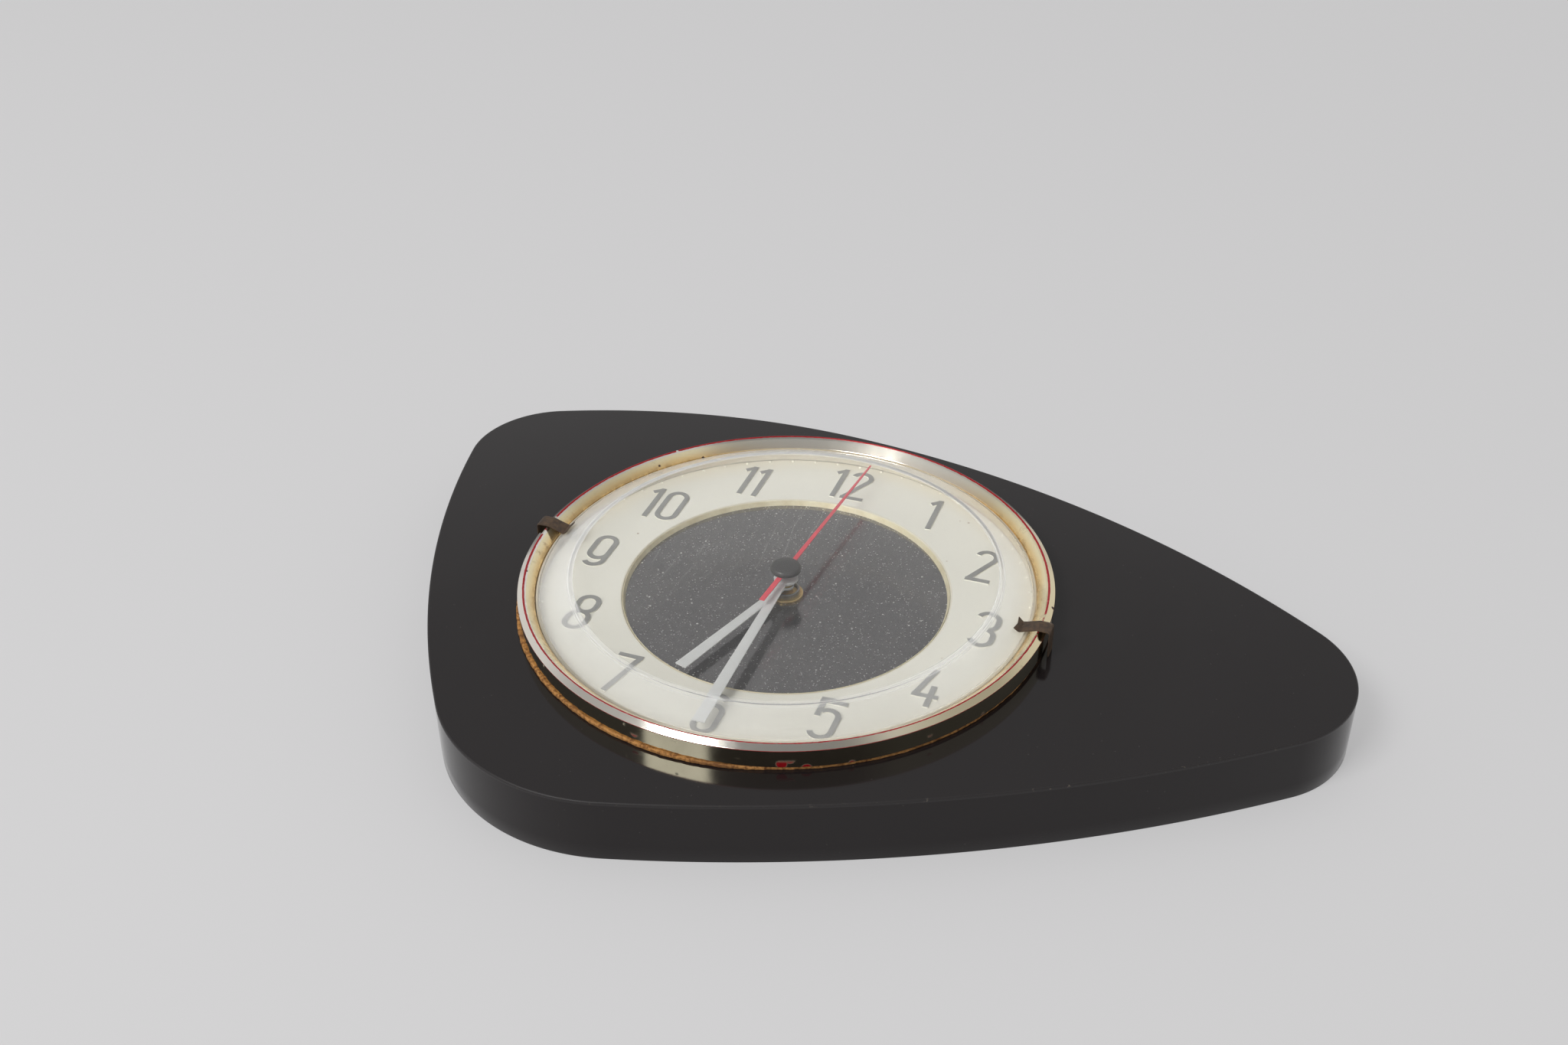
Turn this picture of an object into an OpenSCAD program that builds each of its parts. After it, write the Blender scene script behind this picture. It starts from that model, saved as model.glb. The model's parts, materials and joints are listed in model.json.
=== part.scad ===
// Wall clock lying on its back: a laminate-covered board with a round dial.
// Z = 0 is the back of the board, +Y points to the twelve, +X to the three.
// Every sub-part is drawn around the dial axis and then moved, all together,
// so that the origin lies under the middle of the board.

/* [Board] */
// Thickness of the laminate sheet on the front
laminate_t = 1; // [0.8:0.1:1.6]
// Thickness of the laminate band round the edge
band_t = 1; // [0.6:0.1:1.6]
// Thickness of the backing sheet
backing_t = 0.6; // [0.4:0.1:1]
// Bevel filed along the front edge of the laminate
arris = 0.5; // [0.2:0.1:0.7]

/* [Board outline] */
// Right tip: distance of its arc's centre from the dial axis along X
tip_x = 134; // [124:0.5:144]
// Right tip: distance of its arc's centre along Y
tip_y = 6.5; // [0:0.5:12]
// Radius of the right tip
tip_r = 32; // [26:0.5:38]
// Top left shoulder: its arc's centre along X
shoulder_x = -100.5; // [-108:0.5:-94]
// Top left shoulder: its arc's centre along Y
shoulder_y = 49.5; // [45:0.5:54]
// Radius of the top left shoulder
shoulder_r = 29.5; // [26:0.5:34]
// Bottom left foot: its arc's centre along X
foot_x = -29; // [-36:0.5:-22]
// Bottom left foot: its arc's centre along Y
foot_y = -49; // [-54:0.5:-44]
// Radius of the bottom left foot
foot_r = 55.5; // [51:0.5:60]
// Radius of the top side, from the tip to the crown over the dial
crown_right_r = 315; // [290:5:350]
// Radius of the top side, from the crown to the shoulder
crown_left_r = 220; // [200:5:250]
// Direction in which the two radii of the top side meet
crown_dir = 85; // [80:1:90]
// Radius of the left side, from the shoulder to the foot
left_side_r = 325; // [280:5:400]
// Radius of the bottom side, from the foot to the tip
low_side_r = 470; // [400:5:600]

/* [Cavity] */
// Free space between the cell cradle's corner and the wall of the board's round opening
cavity_gap = 2.95; // [1:0.05:6]
// Width of the rebate that takes the back cover
rebate_w = 6.3; // [5:0.1:8]
// Depth of that rebate
rebate_depth = 2.5; // [2.3:0.1:3]
// Wood left between that rebate and the counterbores of the studs
rebate_wall = 5.6; // [4:0.1:8]

/* [Bezel] */
// Width of the flange that holds the dial
flange_w = 2; // [1.6:0.1:2.6]
// Width of the bezel's inner slope, from its inner edge to its crest
slope_w = 3.2; // [2.6:0.1:5]
// Width of the outer bevel, from the crest to the skirt
bevel_w = 1.8; // [1.4:0.1:3]
// Height of the crest over the board
crest_h = 8.1; // [7.5:0.1:9]
// Drop of the outer bevel from the crest to the skirt
bevel_drop = 1.4; // [1:0.1:2]
// Height of the inner edge over the board
lip_h = 5.2; // [4.4:0.1:6]
// Thickness of the bezel's sheet brass
bezel_t = 0.6; // [0.5:0.05:0.8]
// Height of the gasket under the skirt
gasket_t = 1.2; // [0.8:0.1:2]
// How far the gasket stands out past the skirt
gasket_proud = 0.9; // [0.4:0.1:1]
// Radius of the bezel's studs
stud_r = 1.25; // [1:0.05:1.3]
// Depth of the counterbores for the stud nuts
counterbore_depth = 10; // [8.5:0.5:12]

/* [Crystal] */
// Wall thickness of the clear crystal
crystal_t = 1.2; // [1:0.1:1.3]
// Width of the crystal's sloping wall, from its rim to its shoulder
wall_w = 10; // [7:0.5:12]
// Rise of the crystal's middle over its shoulder
dome_rise = 2; // [1.6:0.1:4]
// Gap between the cap on the seconds hand and the crystal
crystal_gap = 1.3; // [0.8:0.1:3]
// How far the crystal's upright rim stays under the bezel's inner edge
rim_drop = 0.2; // [0.1:0.1:1]
// Width of the two spring clips
clip_w = 5; // [4:0.5:7]
// Thickness of the clips' strip
clip_t = 0.5; // [0.3:0.1:0.7]

/* [Dial] */
// Thickness of the dial sheet
dial_t = 0.5; // [0.4:0.05:0.8]
// Depth of the sunk middle under the dial's ring
sunk_depth = 2; // [1.7:0.1:2.2]
// Thickness of the dark disc that lines the sunk middle
disc_t = 0.3; // [0.2:0.05:0.5]
// Gap between the crystal and the circle of minute dots
dot_gap = 0.1; // [0.1:0.1:1]
// Gap between the middle of the dots and the numerals
figure_gap = 3; // [1:0.1:3]
// Gap between the numerals and the edge of the sunk middle
step_gap = 3.5; // [2:0.1:8]
// Height of a numeral
numeral_h = 17; // [13:0.5:18]
// Width of a wide numeral
numeral_w = 7.6; // [6:0.2:8.4]
// Stroke of the numerals
stroke_w = 1.7; // [1.2:0.1:2]
// How far the numerals stand up from the dial
numeral_relief = 0.35; // [0.2:0.05:0.6]
// Radius of a minute dot
dot_r = 0.5; // [0.3:0.05:0.6]
// How far a minute dot stands up
dot_h = 0.35; // [0.2:0.05:0.5]

/* [Hands] */
// How far the hour hand ends short of the sunk middle's edge
hour_short = 0.6; // [0:0.1:10]
// How far the minute hand ends short of the minute dots
minute_short = 3.2; // [2:0.1:10]
// How far the seconds hand ends short of the minute dots
seconds_short = 8.2; // [7.5:0.1:15]
// Length of the seconds hand's tail
seconds_tail = 16.5; // [10:0.5:20]
// Width of the hour and minute hands at the hub
hand_hub_w = 2.6; // [2.4:0.1:3.6]
// Width of the hour and minute hands at the tip
hand_tip_w = 3.8; // [3:0.1:5]
// Thickness of the hands' strip
hand_t = 0.4; // [0.3:0.05:0.5]
// Radius of the black cap on the seconds hand
cap_r = 4.6; // [3.5:0.1:5.5]
// Height of that cap
cap_h = 1.9; // [1.6:0.1:2.2]
// Clock angle at which the hour hand rests
hour_angle = 198; // [0:1:359]
// Clock angle at which the minute hand rests
minute_angle = 180; // [0:1:359]
// Clock angle at which the seconds hand rests
seconds_angle = 5.5; // [0:0.5:359]

/* [Movement] */
// Thickness of the two brass plates
plate_t = 0.8; // [0.6:0.1:1]
// Height of the back plate over the back of the board
plate_z = 3.4; // [3.2:0.1:3.6]
// Gap between the two plates
plate_gap = 7.8; // [7.7:0.05:8]
// Distance from the centre arbor to the third arbor
train_span = 13.6; // [13.2:0.1:14]
// Gap between the centre wheel's teeth and the escape arbor
escape_gap = 0.33; // [0.25:0.01:0.6]
// Distance from the centre arbor to the minute wheel's post
motion_span = 9; // [8.6:0.1:9.4]
// Radius of the arbors
arbor_r = 0.5; // [0.4:0.05:0.55]
// Outer radius of the balance
balance_r = 9.5; // [8.5:0.1:10]
// Radius of the driving coil's spool
spool_r = 3.8; // [3:0.1:4]
// Thickness of the movement case's walls
case_wall = 1.2; // [1:0.1:1.5]

/* [Battery] */
// Radius of the cell
cell_r = 7.25; // [7:0.05:7.5]
// Free height over and under the cell
headroom = 0.125; // [0.1:0.025:0.5]
// Length of the cell
cell_len = 50.5; // [48:0.5:54]
// Wall of the cell's cradle
cradle_wall = 1.2; // [1:0.1:1.5]

/* [Back] */
// Thickness of the back cover
cover_t = 1.5; // [1.3:0.1:1.6]
// Radius of the setting knob
knob_r = 6; // [5:0.5:7]
// Length of the hanger plate
hanger_l = 34; // [30:1:40]
// Width of the hanger plate
hanger_w = 14; // [12:1:16]
// Thickness of the hanger plate
hanger_t = 1; // [0.8:0.1:1.2]
// Distance that the hanger slot rises over the keyhole's round end
keyhole_run = 4; // [3:0.5:4.5]
// Radius of the keyhole's round end
keyhole_r = 4; // [3.5:0.1:4.5]
// Width of the keyhole's slot
keyhole_slot = 4; // [3:0.1:4.4]

/* [Hidden] */

// Fineness of round parts
$fn = 72;
// Overrun of a cut past the face that it goes through
over = 0.5;
// Running clearance round a shaft, on the radius
run = 0.06;
// Clearance between a loose piece and what it fits in
loose = 0.3;

// Outline of the board: arcs round three corners, joined by long arcs that
// touch them from outside. The top side has two radii, which meet at its crown.
// An inset makes every radius smaller.
tip = [tip_x, tip_y];
shoulder = [shoulder_x, shoulder_y];
foot = [foot_x, foot_y];
arc_steps = 18;
// The place at distance ra from a and rb from b, to the left on the way to b
function meeting(a, b, ra, rb) =
    let (d = b - a, l = norm(d), along = (ra * ra - rb * rb + l * l) / (2 * l))
    a + (d * along + [-d[1], d[0]] * sqrt(ra * ra - along * along)) / l;
function bearing(from, to) = atan2(to[1] - from[1], to[0] - from[0]);
function turn(a, b) = (b - a + 540) % 360 - 180;
function polar(r, a) = [r * cos(a), r * sin(a)];
crown_shift = polar(crown_right_r - crown_left_r, crown_dir);
right_c = meeting(tip, shoulder - crown_shift, crown_right_r - tip_r, crown_left_r - shoulder_r);
left_c = right_c + crown_shift;
left_side_c = meeting(shoulder, foot, left_side_r - shoulder_r, left_side_r - foot_r);
low_side_c = meeting(foot, tip, low_side_r - foot_r, low_side_r - tip_r);
// Centre and radius of each arc, and the direction in which it begins
arcs = [[tip, tip_r, bearing(low_side_c, tip)], [right_c, crown_right_r, bearing(right_c, tip)],
    [left_c, crown_left_r, crown_dir], [shoulder, shoulder_r, bearing(left_c, shoulder)],
    [left_side_c, left_side_r, bearing(left_side_c, shoulder)],
    [foot, foot_r, bearing(left_side_c, foot)], [low_side_c, low_side_r, bearing(low_side_c, foot)]];
function arc_points(i, inset) =
    let (arc = arcs[i], span = turn(arc[2], arcs[(i + 1) % len(arcs)][2]))
    [for (k = [0 : arc_steps - 1]) arc[0] + polar(arc[1] - inset, arc[2] + span * k / arc_steps)];
function outline(inset) = [for (i = [0 : len(arcs) - 1]) for (p = arc_points(i, inset)) p];
plan = outline(0);
plan_x = [for (p = plan) p[0]];
plan_y = [for (p = plan) p[1]];
mid_x = (max(plan_x) + min(plan_x)) / 2;
mid_y = (max(plan_y) + min(plan_y)) / 2;
module at_dial() { translate([-mid_x, -mid_y, 0]) children(); }

// Play of a piece along its axis
end_play = 0.1;
// Thickness of the wheels
wheel_t = 0.5;

// Wheels: tooth counts and the shape of a tooth, as shares of the pitch
seconds_teeth = 80;
escape_leaves = 8;
leaves = 8;
third_teeth = 60;
centre_teeth = 64;
cannon_teeth = 10;
minute_teeth = 30;
minute_leaves = 8;
hour_teeth = 32;
set_teeth = 10;
escape_teeth = 15;
addendum_share = 0.75;
dedendum_share = 1.05;
root_share = 0.5;
tip_share = 0.16;
third_m = 2 * train_span / (third_teeth + leaves);
centre_m = 2 * train_span / (centre_teeth + leaves);
centre_tip_r = centre_m * (centre_teeth / 2 + addendum_share);
escape_span = centre_tip_r + escape_gap + arbor_r;
escape_m = 2 * escape_span / (seconds_teeth + escape_leaves);
motion_m = 2 * motion_span / (cannon_teeth + minute_teeth);
hour_m = 2 * motion_span / (hour_teeth + minute_leaves);
set_span = motion_m * (minute_teeth + set_teeth) / 2;
third_dir = -60;
escape_dir = 150;
minute_dir = 60;
set_dir = 30;
lever_dir = 165;
fork_span = 6.2;
balance_span = 7;
third_at = polar(train_span, third_dir);
escape_at = polar(escape_span, escape_dir);
minute_at = polar(motion_span, minute_dir);
set_at = minute_at + polar(set_span, set_dir);
fork_at = escape_at + polar(fork_span, lever_dir);
balance_at = fork_at + polar(balance_span, lever_dir);
coil_at = balance_at + polar(balance_span, lever_dir);
third_tip_r = third_m * (third_teeth / 2 + addendum_share);

// Plates, pillars and case: the plates reach a little past the coil, the third wheel and the balance
coil_margin = 3.26;
third_side_margin = 4.9;
third_low_margin = 1.92;
balance_margin = 4.48;
plate_left = spool_r + coil_margin - coil_at[0];
plate_right = third_at[0] + third_tip_r + third_side_margin;
plate_low = third_tip_r + third_low_margin - third_at[1];
plate_high = balance_at[1] + balance_r + balance_margin;
plate_x = [-plate_left, plate_right];
plate_y = [-plate_low, plate_high];
plate_corner = 4;
pillar_inset = 4;
pillar_r = 2;
screw_r = 0.9;
screw_head_r = 1.7;
screw_head_h = 0.5;
pillar_at = [for (x = [plate_x[0] + pillar_inset, plate_x[1] - pillar_inset])
    for (y = [plate_y[0] + pillar_inset, plate_y[1] - pillar_inset]) [x, y]];
case_x = [plate_x[0] - loose - case_wall, plate_x[1] + loose + case_wall];
case_y = [plate_y[0] - loose - case_wall, plate_y[1] + loose + case_wall];

// Cell and cradle
cell_gap = 0.15;
contact_t = 0.4;
contact_room = 2;
roof_t = 0.45;
cradle_in_w = cell_r + cell_gap;
cell_y = case_y[0] - cradle_wall - cradle_in_w;
cell_x = (case_x[0] + case_x[1]) / 2;
cradle_in_l = cell_len / 2 + contact_room;

// Heights of the movement over the back of the board
front_z = plate_z + plate_t + plate_gap;
front_top = front_z + plate_t;
washer_t = 0.8;
case_front_t = 0.8;
motion_gap = 0.4;
cannon_z = front_top + motion_gap;
cannon_h = 1;
minute_wheel_z = cannon_z + motion_gap / 2;
hour_wheel_z = cannon_z + cannon_h + motion_gap;
minute_leaf_z = minute_wheel_z + wheel_t;
minute_leaf_h = hour_wheel_z + wheel_t - minute_leaf_z + motion_gap / 2;

// The board is thick enough for the cell and for the movement, whichever is the taller
cell_need = rebate_depth + 2 * (cell_r + headroom) + roof_t + loose;
movement_need = minute_leaf_z + minute_leaf_h + end_play + motion_gap + case_front_t + washer_t;
board_t = max(cell_need, movement_need) + sunk_depth;

// Heights over the back of the board
core_top = board_t - laminate_t;
crest_z = board_t + crest_h;
bevel_z = crest_z - bevel_drop;
lip_z = board_t + lip_h;
gasket_z = board_t + gasket_t;
dial_z = board_t + dial_t;
pan_z = dial_z - sunk_depth;
disc_z = pan_z + disc_t;
pan_under = pan_z - dial_t;
case_top = pan_under - washer_t;
case_ceiling = case_top - case_front_t;
cover_z = rebate_depth - cover_t;
cradle_top = pan_under - loose - roof_t;
cell_z = (rebate_depth + cradle_top) / 2;

// Radii from the cradle in the middle outwards to the bezel
cavity_r = norm([abs(cell_x) + cradle_in_l + cradle_wall, abs(cell_y) + cradle_in_w + cradle_wall])
    + cavity_gap;
rebate_r = cavity_r + rebate_w;
counterbore_r = stud_r * 3.6;
stud_circle_r = rebate_r + rebate_wall + counterbore_r;
dial_r = stud_circle_r + flange_w / 2;
lip_r = dial_r - flange_w - bezel_t;
crest_r = lip_r + slope_w;
skirt_r = crest_r + bevel_w;

// Bezel, gasket and studs
flange_r = dial_r;
gasket_in = flange_r + loose;
gasket_out = skirt_r + gasket_proud;
stud_angles = [30, 150, 270];
stud_hole_r = stud_r + 0.2 * stud_r;
nut_r = stud_r * 2.4;
nut_h = stud_r * 1.6;
stud_end_z = counterbore_depth - nut_h - stud_r;

// Hands and the pieces on the axis
seconds_r = arbor_r;
pipe_in = seconds_r + run;
pipe_out = pipe_in + 1.3 * arbor_r;
hour_in = pipe_out + run;
hour_out = hour_in + 1.5 * arbor_r;
bush_in = hour_out + run;
bush_out = bush_in + 2.1 * arbor_r;
nut_flange_r = bush_out + 4 * arbor_r;
nut_flange_h = 0.8;
cup_out = bush_out + 2 * arbor_r;
cup_in = cup_out - 1.2 * arbor_r;
cup_h = 1.6;
cup_z = disc_z + nut_flange_h;
cup_top = cup_z + cup_h;
bush_top = cup_z + nut_flange_h / 2;
hand_gap = 0.8;
hour_z = cup_top + hand_gap;
hour_hub_r = hour_out + hand_t;
minute_gap = 2.2;
minute_z = hour_z + hand_t + minute_gap;
minute_hub_r = cup_out - arbor_r;
hub_h = 2 * hand_t;
seconds_gap = 2.4;
seconds_z = minute_z + hand_t + seconds_gap;
seconds_t = 0.3;
cap_z = seconds_z + seconds_t;
seconds_hub_w = 1.6;
seconds_tip_w = 0.6;
cap_top = cap_z + cap_h;

// Crystal
crystal_r = lip_r - loose;
rim_z = lip_z - rim_drop;
shoulder_ring_r = crystal_r - wall_w;
ring_z = cap_top + crystal_gap + crystal_t - dome_rise;
soften = 0.6;
dome_steps = 8;
dome_r = (shoulder_ring_r * shoulder_ring_r + dome_rise * dome_rise) / (2 * dome_rise);
function dome_at(r, drop) = ring_z + dome_rise - drop - (dome_r - sqrt(dome_r * dome_r - r * r));
wall_slope = (ring_z - rim_z) / (crystal_r - shoulder_ring_r);
slope_len = sqrt(1 + wall_slope * wall_slope);
function slope_at(r) = rim_z + (crystal_r - r) * wall_slope;
// Where the inner faces of the dome and of the sloping wall meet
inner_shoulder_r = shoulder_ring_r - crystal_t * 0.4;

// Clips
clip_out = gasket_out + loose + clip_t;
clip_tip_r = crystal_r - 2.4 * clip_t - crystal_t;
clip_gap = 0.1;
clip_angles = [-2, 180];

// Circles of the dial, and the hands that reach to them
dot_circle_r = crystal_r - crystal_t - dot_gap - dot_r;
numeral_circle_r = dot_circle_r - figure_gap - numeral_h / 2;
sunk_r = numeral_circle_r - numeral_h / 2 - step_gap;
hour_len = sunk_r - hour_short;
minute_len = dot_circle_r - minute_short;
seconds_len = dot_circle_r - seconds_short;

// Numerals: strokes and bends around the middle of each figure
half_h = numeral_h / 2;
half_w = numeral_w / 2;
bend_r = half_w - stroke_w / 2;
bend_y = half_h - half_w;
bend_steps = 10;
narrow_share = 0.5;
one_x = stroke_w * 0.35;

// Turn of a driven wheel that puts a gap of it opposite a tooth of its driver
function meshed(dir, driver_turn, driver_teeth, driven_teeth) =
    dir + 180 + 180 / driven_teeth - (driver_turn - dir) * driver_teeth / driven_teeth;

// Heights between the plates, counted from the back plate's upper face
floor_z = plate_z + plate_t;
escape_pinion_lift = 0.5;
seconds_wheel_lift = 0.7;
spring_lift = 0.8;
third_wheel_lift = 2.2;
escape_wheel_lift = 2.8;
centre_wheel_lift = 4.2;
magnet_lift = 5;
escape_pinion_z = floor_z + escape_pinion_lift;
escape_pinion_h = 1.3;
seconds_wheel_z = floor_z + seconds_wheel_lift;
third_wheel_z = floor_z + third_wheel_lift;
seconds_pinion_z = third_wheel_z - wheel_t / 2;
seconds_pinion_h = 2 * wheel_t;
escape_wheel_z = floor_z + escape_wheel_lift;
fork_z = escape_wheel_z + wheel_t + loose;
centre_wheel_z = floor_z + centre_wheel_lift;
third_pinion_z = centre_wheel_z - wheel_t;
third_pinion_h = 3 * wheel_t;
roller_pin_z = fork_z + wheel_t + loose;
roller_z = roller_pin_z + wheel_t / 2;
roller_r = 2.2;
roller_pin_r = 0.3;
magnet_z = floor_z + magnet_lift;
magnet_t = 0.7;
magnet_r = 2.2;
balance_z = magnet_z + magnet_t;
balance_t = 0.6;
rim_w = 1.5;
spoke_w = 2 * magnet_r + wheel_t;
staff_r = 0.6;
pivot_r = 0.35;
boss_r = 1.6;
boss_h = 0.6;
spring_z = floor_z + spring_lift;
spring_h = 0.5;
spring_t = 0.16;
spring_in = 1.3;
spring_out = 5;
spring_turns = 4.75;
spring_steps = 20;
stud_dir = -60;
spring_stud_w = 1;
collet_r = 1;
regulator_dir = 90;
regulator_swing = 20;
regulator_z = floor_z + end_play;
regulator_t = 0.4;
regulator_len = 12;
regulator_w = 2;
tail_r = 0.8;
curb_r = 0.2;
curb_gap = 0.44;
// Radius at which the spring's outer turn passes between the curb pins
curb_circle_r = spring_out - (spring_out - spring_in) / spring_turns * (regulator_dir - stud_dir) / 360;
spool_flange = 0.5;
spool_z = spring_z + spring_h + spool_flange;
spool_top = magnet_z - loose;
spool_core_r = 1.3;
escape_r = 4.5;
fork_hub_r = 1.4;
fork_bar_w = 1;
fork_reach = balance_span - 1.9;
horn_w = 0.5;
horn_gap = 0.9;
pallet_spread = 38;

// Radii of the fixed posts
post_r = 0.6;
fork_post_r = 0.55;

// Window for the regulator's tail
window_swing = 1.4 * regulator_swing;
window_w = tail_r + 2 * loose;

// Contacts of the cell
nub_r = 2.7;
nub_h = 1;

// Back cover, hatch and knob
cover_r = rebate_r - loose;
cover_hole_r = knob_r + 2 * loose;
hatch_w = 2 * cradle_in_w;
hatch_l = 2 * cradle_in_l;
hinge_r = cover_t / 2;
hinge_pin_r = hinge_r * 0.65;
hinge_pin_l = 1.5;
hinge_y = cell_y - cradle_in_w - hinge_r;
hinge_z = cover_z + cover_t / 2;
cover_screw_circle = (cavity_r + cover_r) / 2;
cover_screw_angles = [45, 135, 225, 315];
cover_screw_r = 1.1;
knob_z = 0.5;
knob_t = cover_z + cover_t - knob_z;
set_r = 0.75;
knurls = 24;
// The hanger stands over the balance point of the board
hanger_x = mid_x / 2;
hanger_share = 0.41;
hanger_y = cover_r + hanger_share * (max(plan_y) - cover_r);
keyhole_y = 1.5 * hanger_t - hanger_w / 2 + keyhole_r;
pocket_depth = 6;
hanger_screw_r = 1.2;
hanger_screw_at = hanger_l / 2 - 3 * hanger_screw_r;

// Circuit board and what stands on it
card_l = 16;
card_w = 17;
card_t = 0.8;
card_x = plate_x[0] + pillar_inset + screw_head_r + screw_r;
card_y = plate_y[0] + pillar_inset;
transistor_r = 2.6;
transistor_h = 4.6;
capacitor_r = 2;
capacitor_l = 9;

module tube(r_out, r_in, z, h) {
    translate([0, 0, z]) difference() {
        cylinder(r = r_out, h = h);
        translate([0, 0, -over]) cylinder(r = r_in, h = h + 2 * over);
    }
}
module disc_at(r, z, h) { translate([0, 0, z]) cylinder(r = r, h = h); }
module ring_of(angles, r) { for (a = angles) rotate(a) translate([r, 0, 0]) children(); }
module keyhole() {
    translate([0, keyhole_y]) {
        circle(r = keyhole_r);
        translate([-keyhole_slot / 2, 0]) square([keyhole_slot, keyhole_run]);
        translate([0, keyhole_run]) circle(r = keyhole_slot / 2);
    }
}
module at_hanger() { translate([hanger_x, hanger_y, 0]) children(); }

// Board
module stud_holes(z) {
    ring_of(stud_angles, stud_circle_r) translate([0, 0, z]) cylinder(r = stud_hole_r, h = board_t);
}
module counterbores() {
    ring_of(stud_angles, stud_circle_r)
        translate([0, 0, -over]) cylinder(r = counterbore_r, h = counterbore_depth + over);
}
module hanger_seat() {
    pocket_r = keyhole_r + loose / 2;
    at_hanger() {
        translate([-hanger_l / 2 - loose, -hanger_w / 2 - loose, -over])
            cube([hanger_l + 2 * loose, hanger_w + 2 * loose, hanger_t + over]);
        translate([-pocket_r, keyhole_y - pocket_r, -over])
            cube([2 * pocket_r, 2 * pocket_r + keyhole_run, pocket_depth + over]);
    }
}
module screw_pilots() {
    ring_of(cover_screw_angles, cover_screw_circle)
        translate([0, 0, rebate_depth - over]) cylinder(r = cover_screw_r, h = counterbore_depth + over);
    at_hanger() for (s = [-1, 1])
        translate([s * hanger_screw_at, 0, -over])
            cylinder(r = hanger_screw_r, h = counterbore_depth + over);
}
module board_core() {
    at_dial() color([0.55, 0.4, 0.25]) difference() {
        translate([0, 0, backing_t]) linear_extrude(core_top - backing_t) polygon(outline(band_t));
        translate([0, 0, -over]) cylinder(r = cavity_r, h = board_t + 2 * over);
        translate([0, 0, -over]) cylinder(r = rebate_r, h = rebate_depth + over);
        stud_holes(counterbore_depth - over);
        counterbores();
        hanger_seat();
        screw_pilots();
    }
}
module front_laminate() {
    at_dial() color([0.2, 0.19, 0.19]) difference() {
        hull() {
            translate([0, 0, core_top]) linear_extrude(laminate_t - arris) polygon(plan);
            translate([0, 0, core_top]) linear_extrude(laminate_t) polygon(outline(arris));
        }
        translate([0, 0, core_top - over]) cylinder(r = cavity_r, h = laminate_t + 2 * over);
        stud_holes(core_top - over);
    }
}
module edge_band() {
    at_dial() color([0.14, 0.13, 0.13]) linear_extrude(core_top) difference() {
        polygon(plan);
        polygon(outline(band_t));
    }
}
module backing_sheet() {
    at_dial() color([0.4, 0.26, 0.16]) difference() {
        linear_extrude(backing_t) polygon(outline(band_t));
        translate([0, 0, -over]) cylinder(r = rebate_r, h = backing_t + 2 * over);
        counterbores();
        hanger_seat();
    }
}

// Bezel and crystal
module bezel() {
    at_dial() color([0.85, 0.8, 0.68]) rotate_extrude($fn = 180) polygon([
        [skirt_r, gasket_z], [skirt_r, bevel_z], [crest_r, crest_z], [lip_r, lip_z], [lip_r, dial_z],
        [flange_r, dial_z], [flange_r, dial_z + bezel_t], [lip_r + bezel_t, dial_z + bezel_t],
        [lip_r + bezel_t, lip_z - bezel_t / 2], [crest_r, crest_z - 1.5 * bezel_t],
        [skirt_r - bezel_t, bevel_z - bezel_t], [skirt_r - bezel_t, gasket_z]]);
}
module bezel_gasket() {
    at_dial() color([0.7, 0.45, 0.2]) tube(gasket_out, gasket_in, board_t, gasket_t, $fn = 180);
}
module bezel_studs() {
    at_dial() color([0.8, 0.66, 0.35]) ring_of(stud_angles, stud_circle_r)
        disc_at(stud_r, stud_end_z, dial_z - stud_end_z);
}
module stud_nuts() {
    at_dial() color([0.72, 0.6, 0.35]) ring_of(stud_angles, stud_circle_r)
        translate([0, 0, counterbore_depth - nut_h]) difference() {
            cylinder(r = nut_r, h = nut_h, $fn = 6);
            translate([0, 0, -over]) cylinder(r = stud_r, h = nut_h + 2 * over);
        }
}
module crystal() {
    outer = [for (k = [0 : dome_steps]) let (r = (shoulder_ring_r - soften) * k / dome_steps)
        [r, dome_at(r, 0)]];
    inner = [for (k = [0 : dome_steps]) let (r = inner_shoulder_r * (dome_steps - k) / dome_steps)
        [r, dome_at(r, crystal_t)]];
    at_dial() color([0.85, 0.87, 0.86, 0.35]) rotate_extrude($fn = 180) polygon(concat(outer,
        [[shoulder_ring_r + soften, slope_at(shoulder_ring_r + soften)], [crystal_r, rim_z],
        [crystal_r, dial_z], [crystal_r - crystal_t, dial_z],
        [crystal_r - crystal_t, slope_at(crystal_r - crystal_t) - crystal_t * slope_len]], inner));
}
module clip_profile() {
    top = crest_z + clip_gap;
    tip_z = slope_at(clip_tip_r) + clip_gap;
    polygon([[clip_out - clip_t, board_t], [clip_out, board_t], [clip_out, top],
        [clip_out - clip_t, top + clip_t], [crest_r - clip_t, top + clip_t],
        [clip_tip_r, tip_z + 1.4 * clip_t], [clip_tip_r - clip_t, tip_z + 2.4 * clip_t],
        [clip_tip_r - 1.6 * clip_t, tip_z + 2 * clip_t], [clip_tip_r, tip_z + clip_t / 4],
        [crest_r, top], [clip_out - clip_t, top]]);
}
module crystal_clips() {
    at_dial() color([0.3, 0.26, 0.22]) for (a = clip_angles)
        rotate(a) rotate([90, 0, 0]) translate([0, 0, -clip_w / 2]) linear_extrude(clip_w) clip_profile();
}

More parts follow.
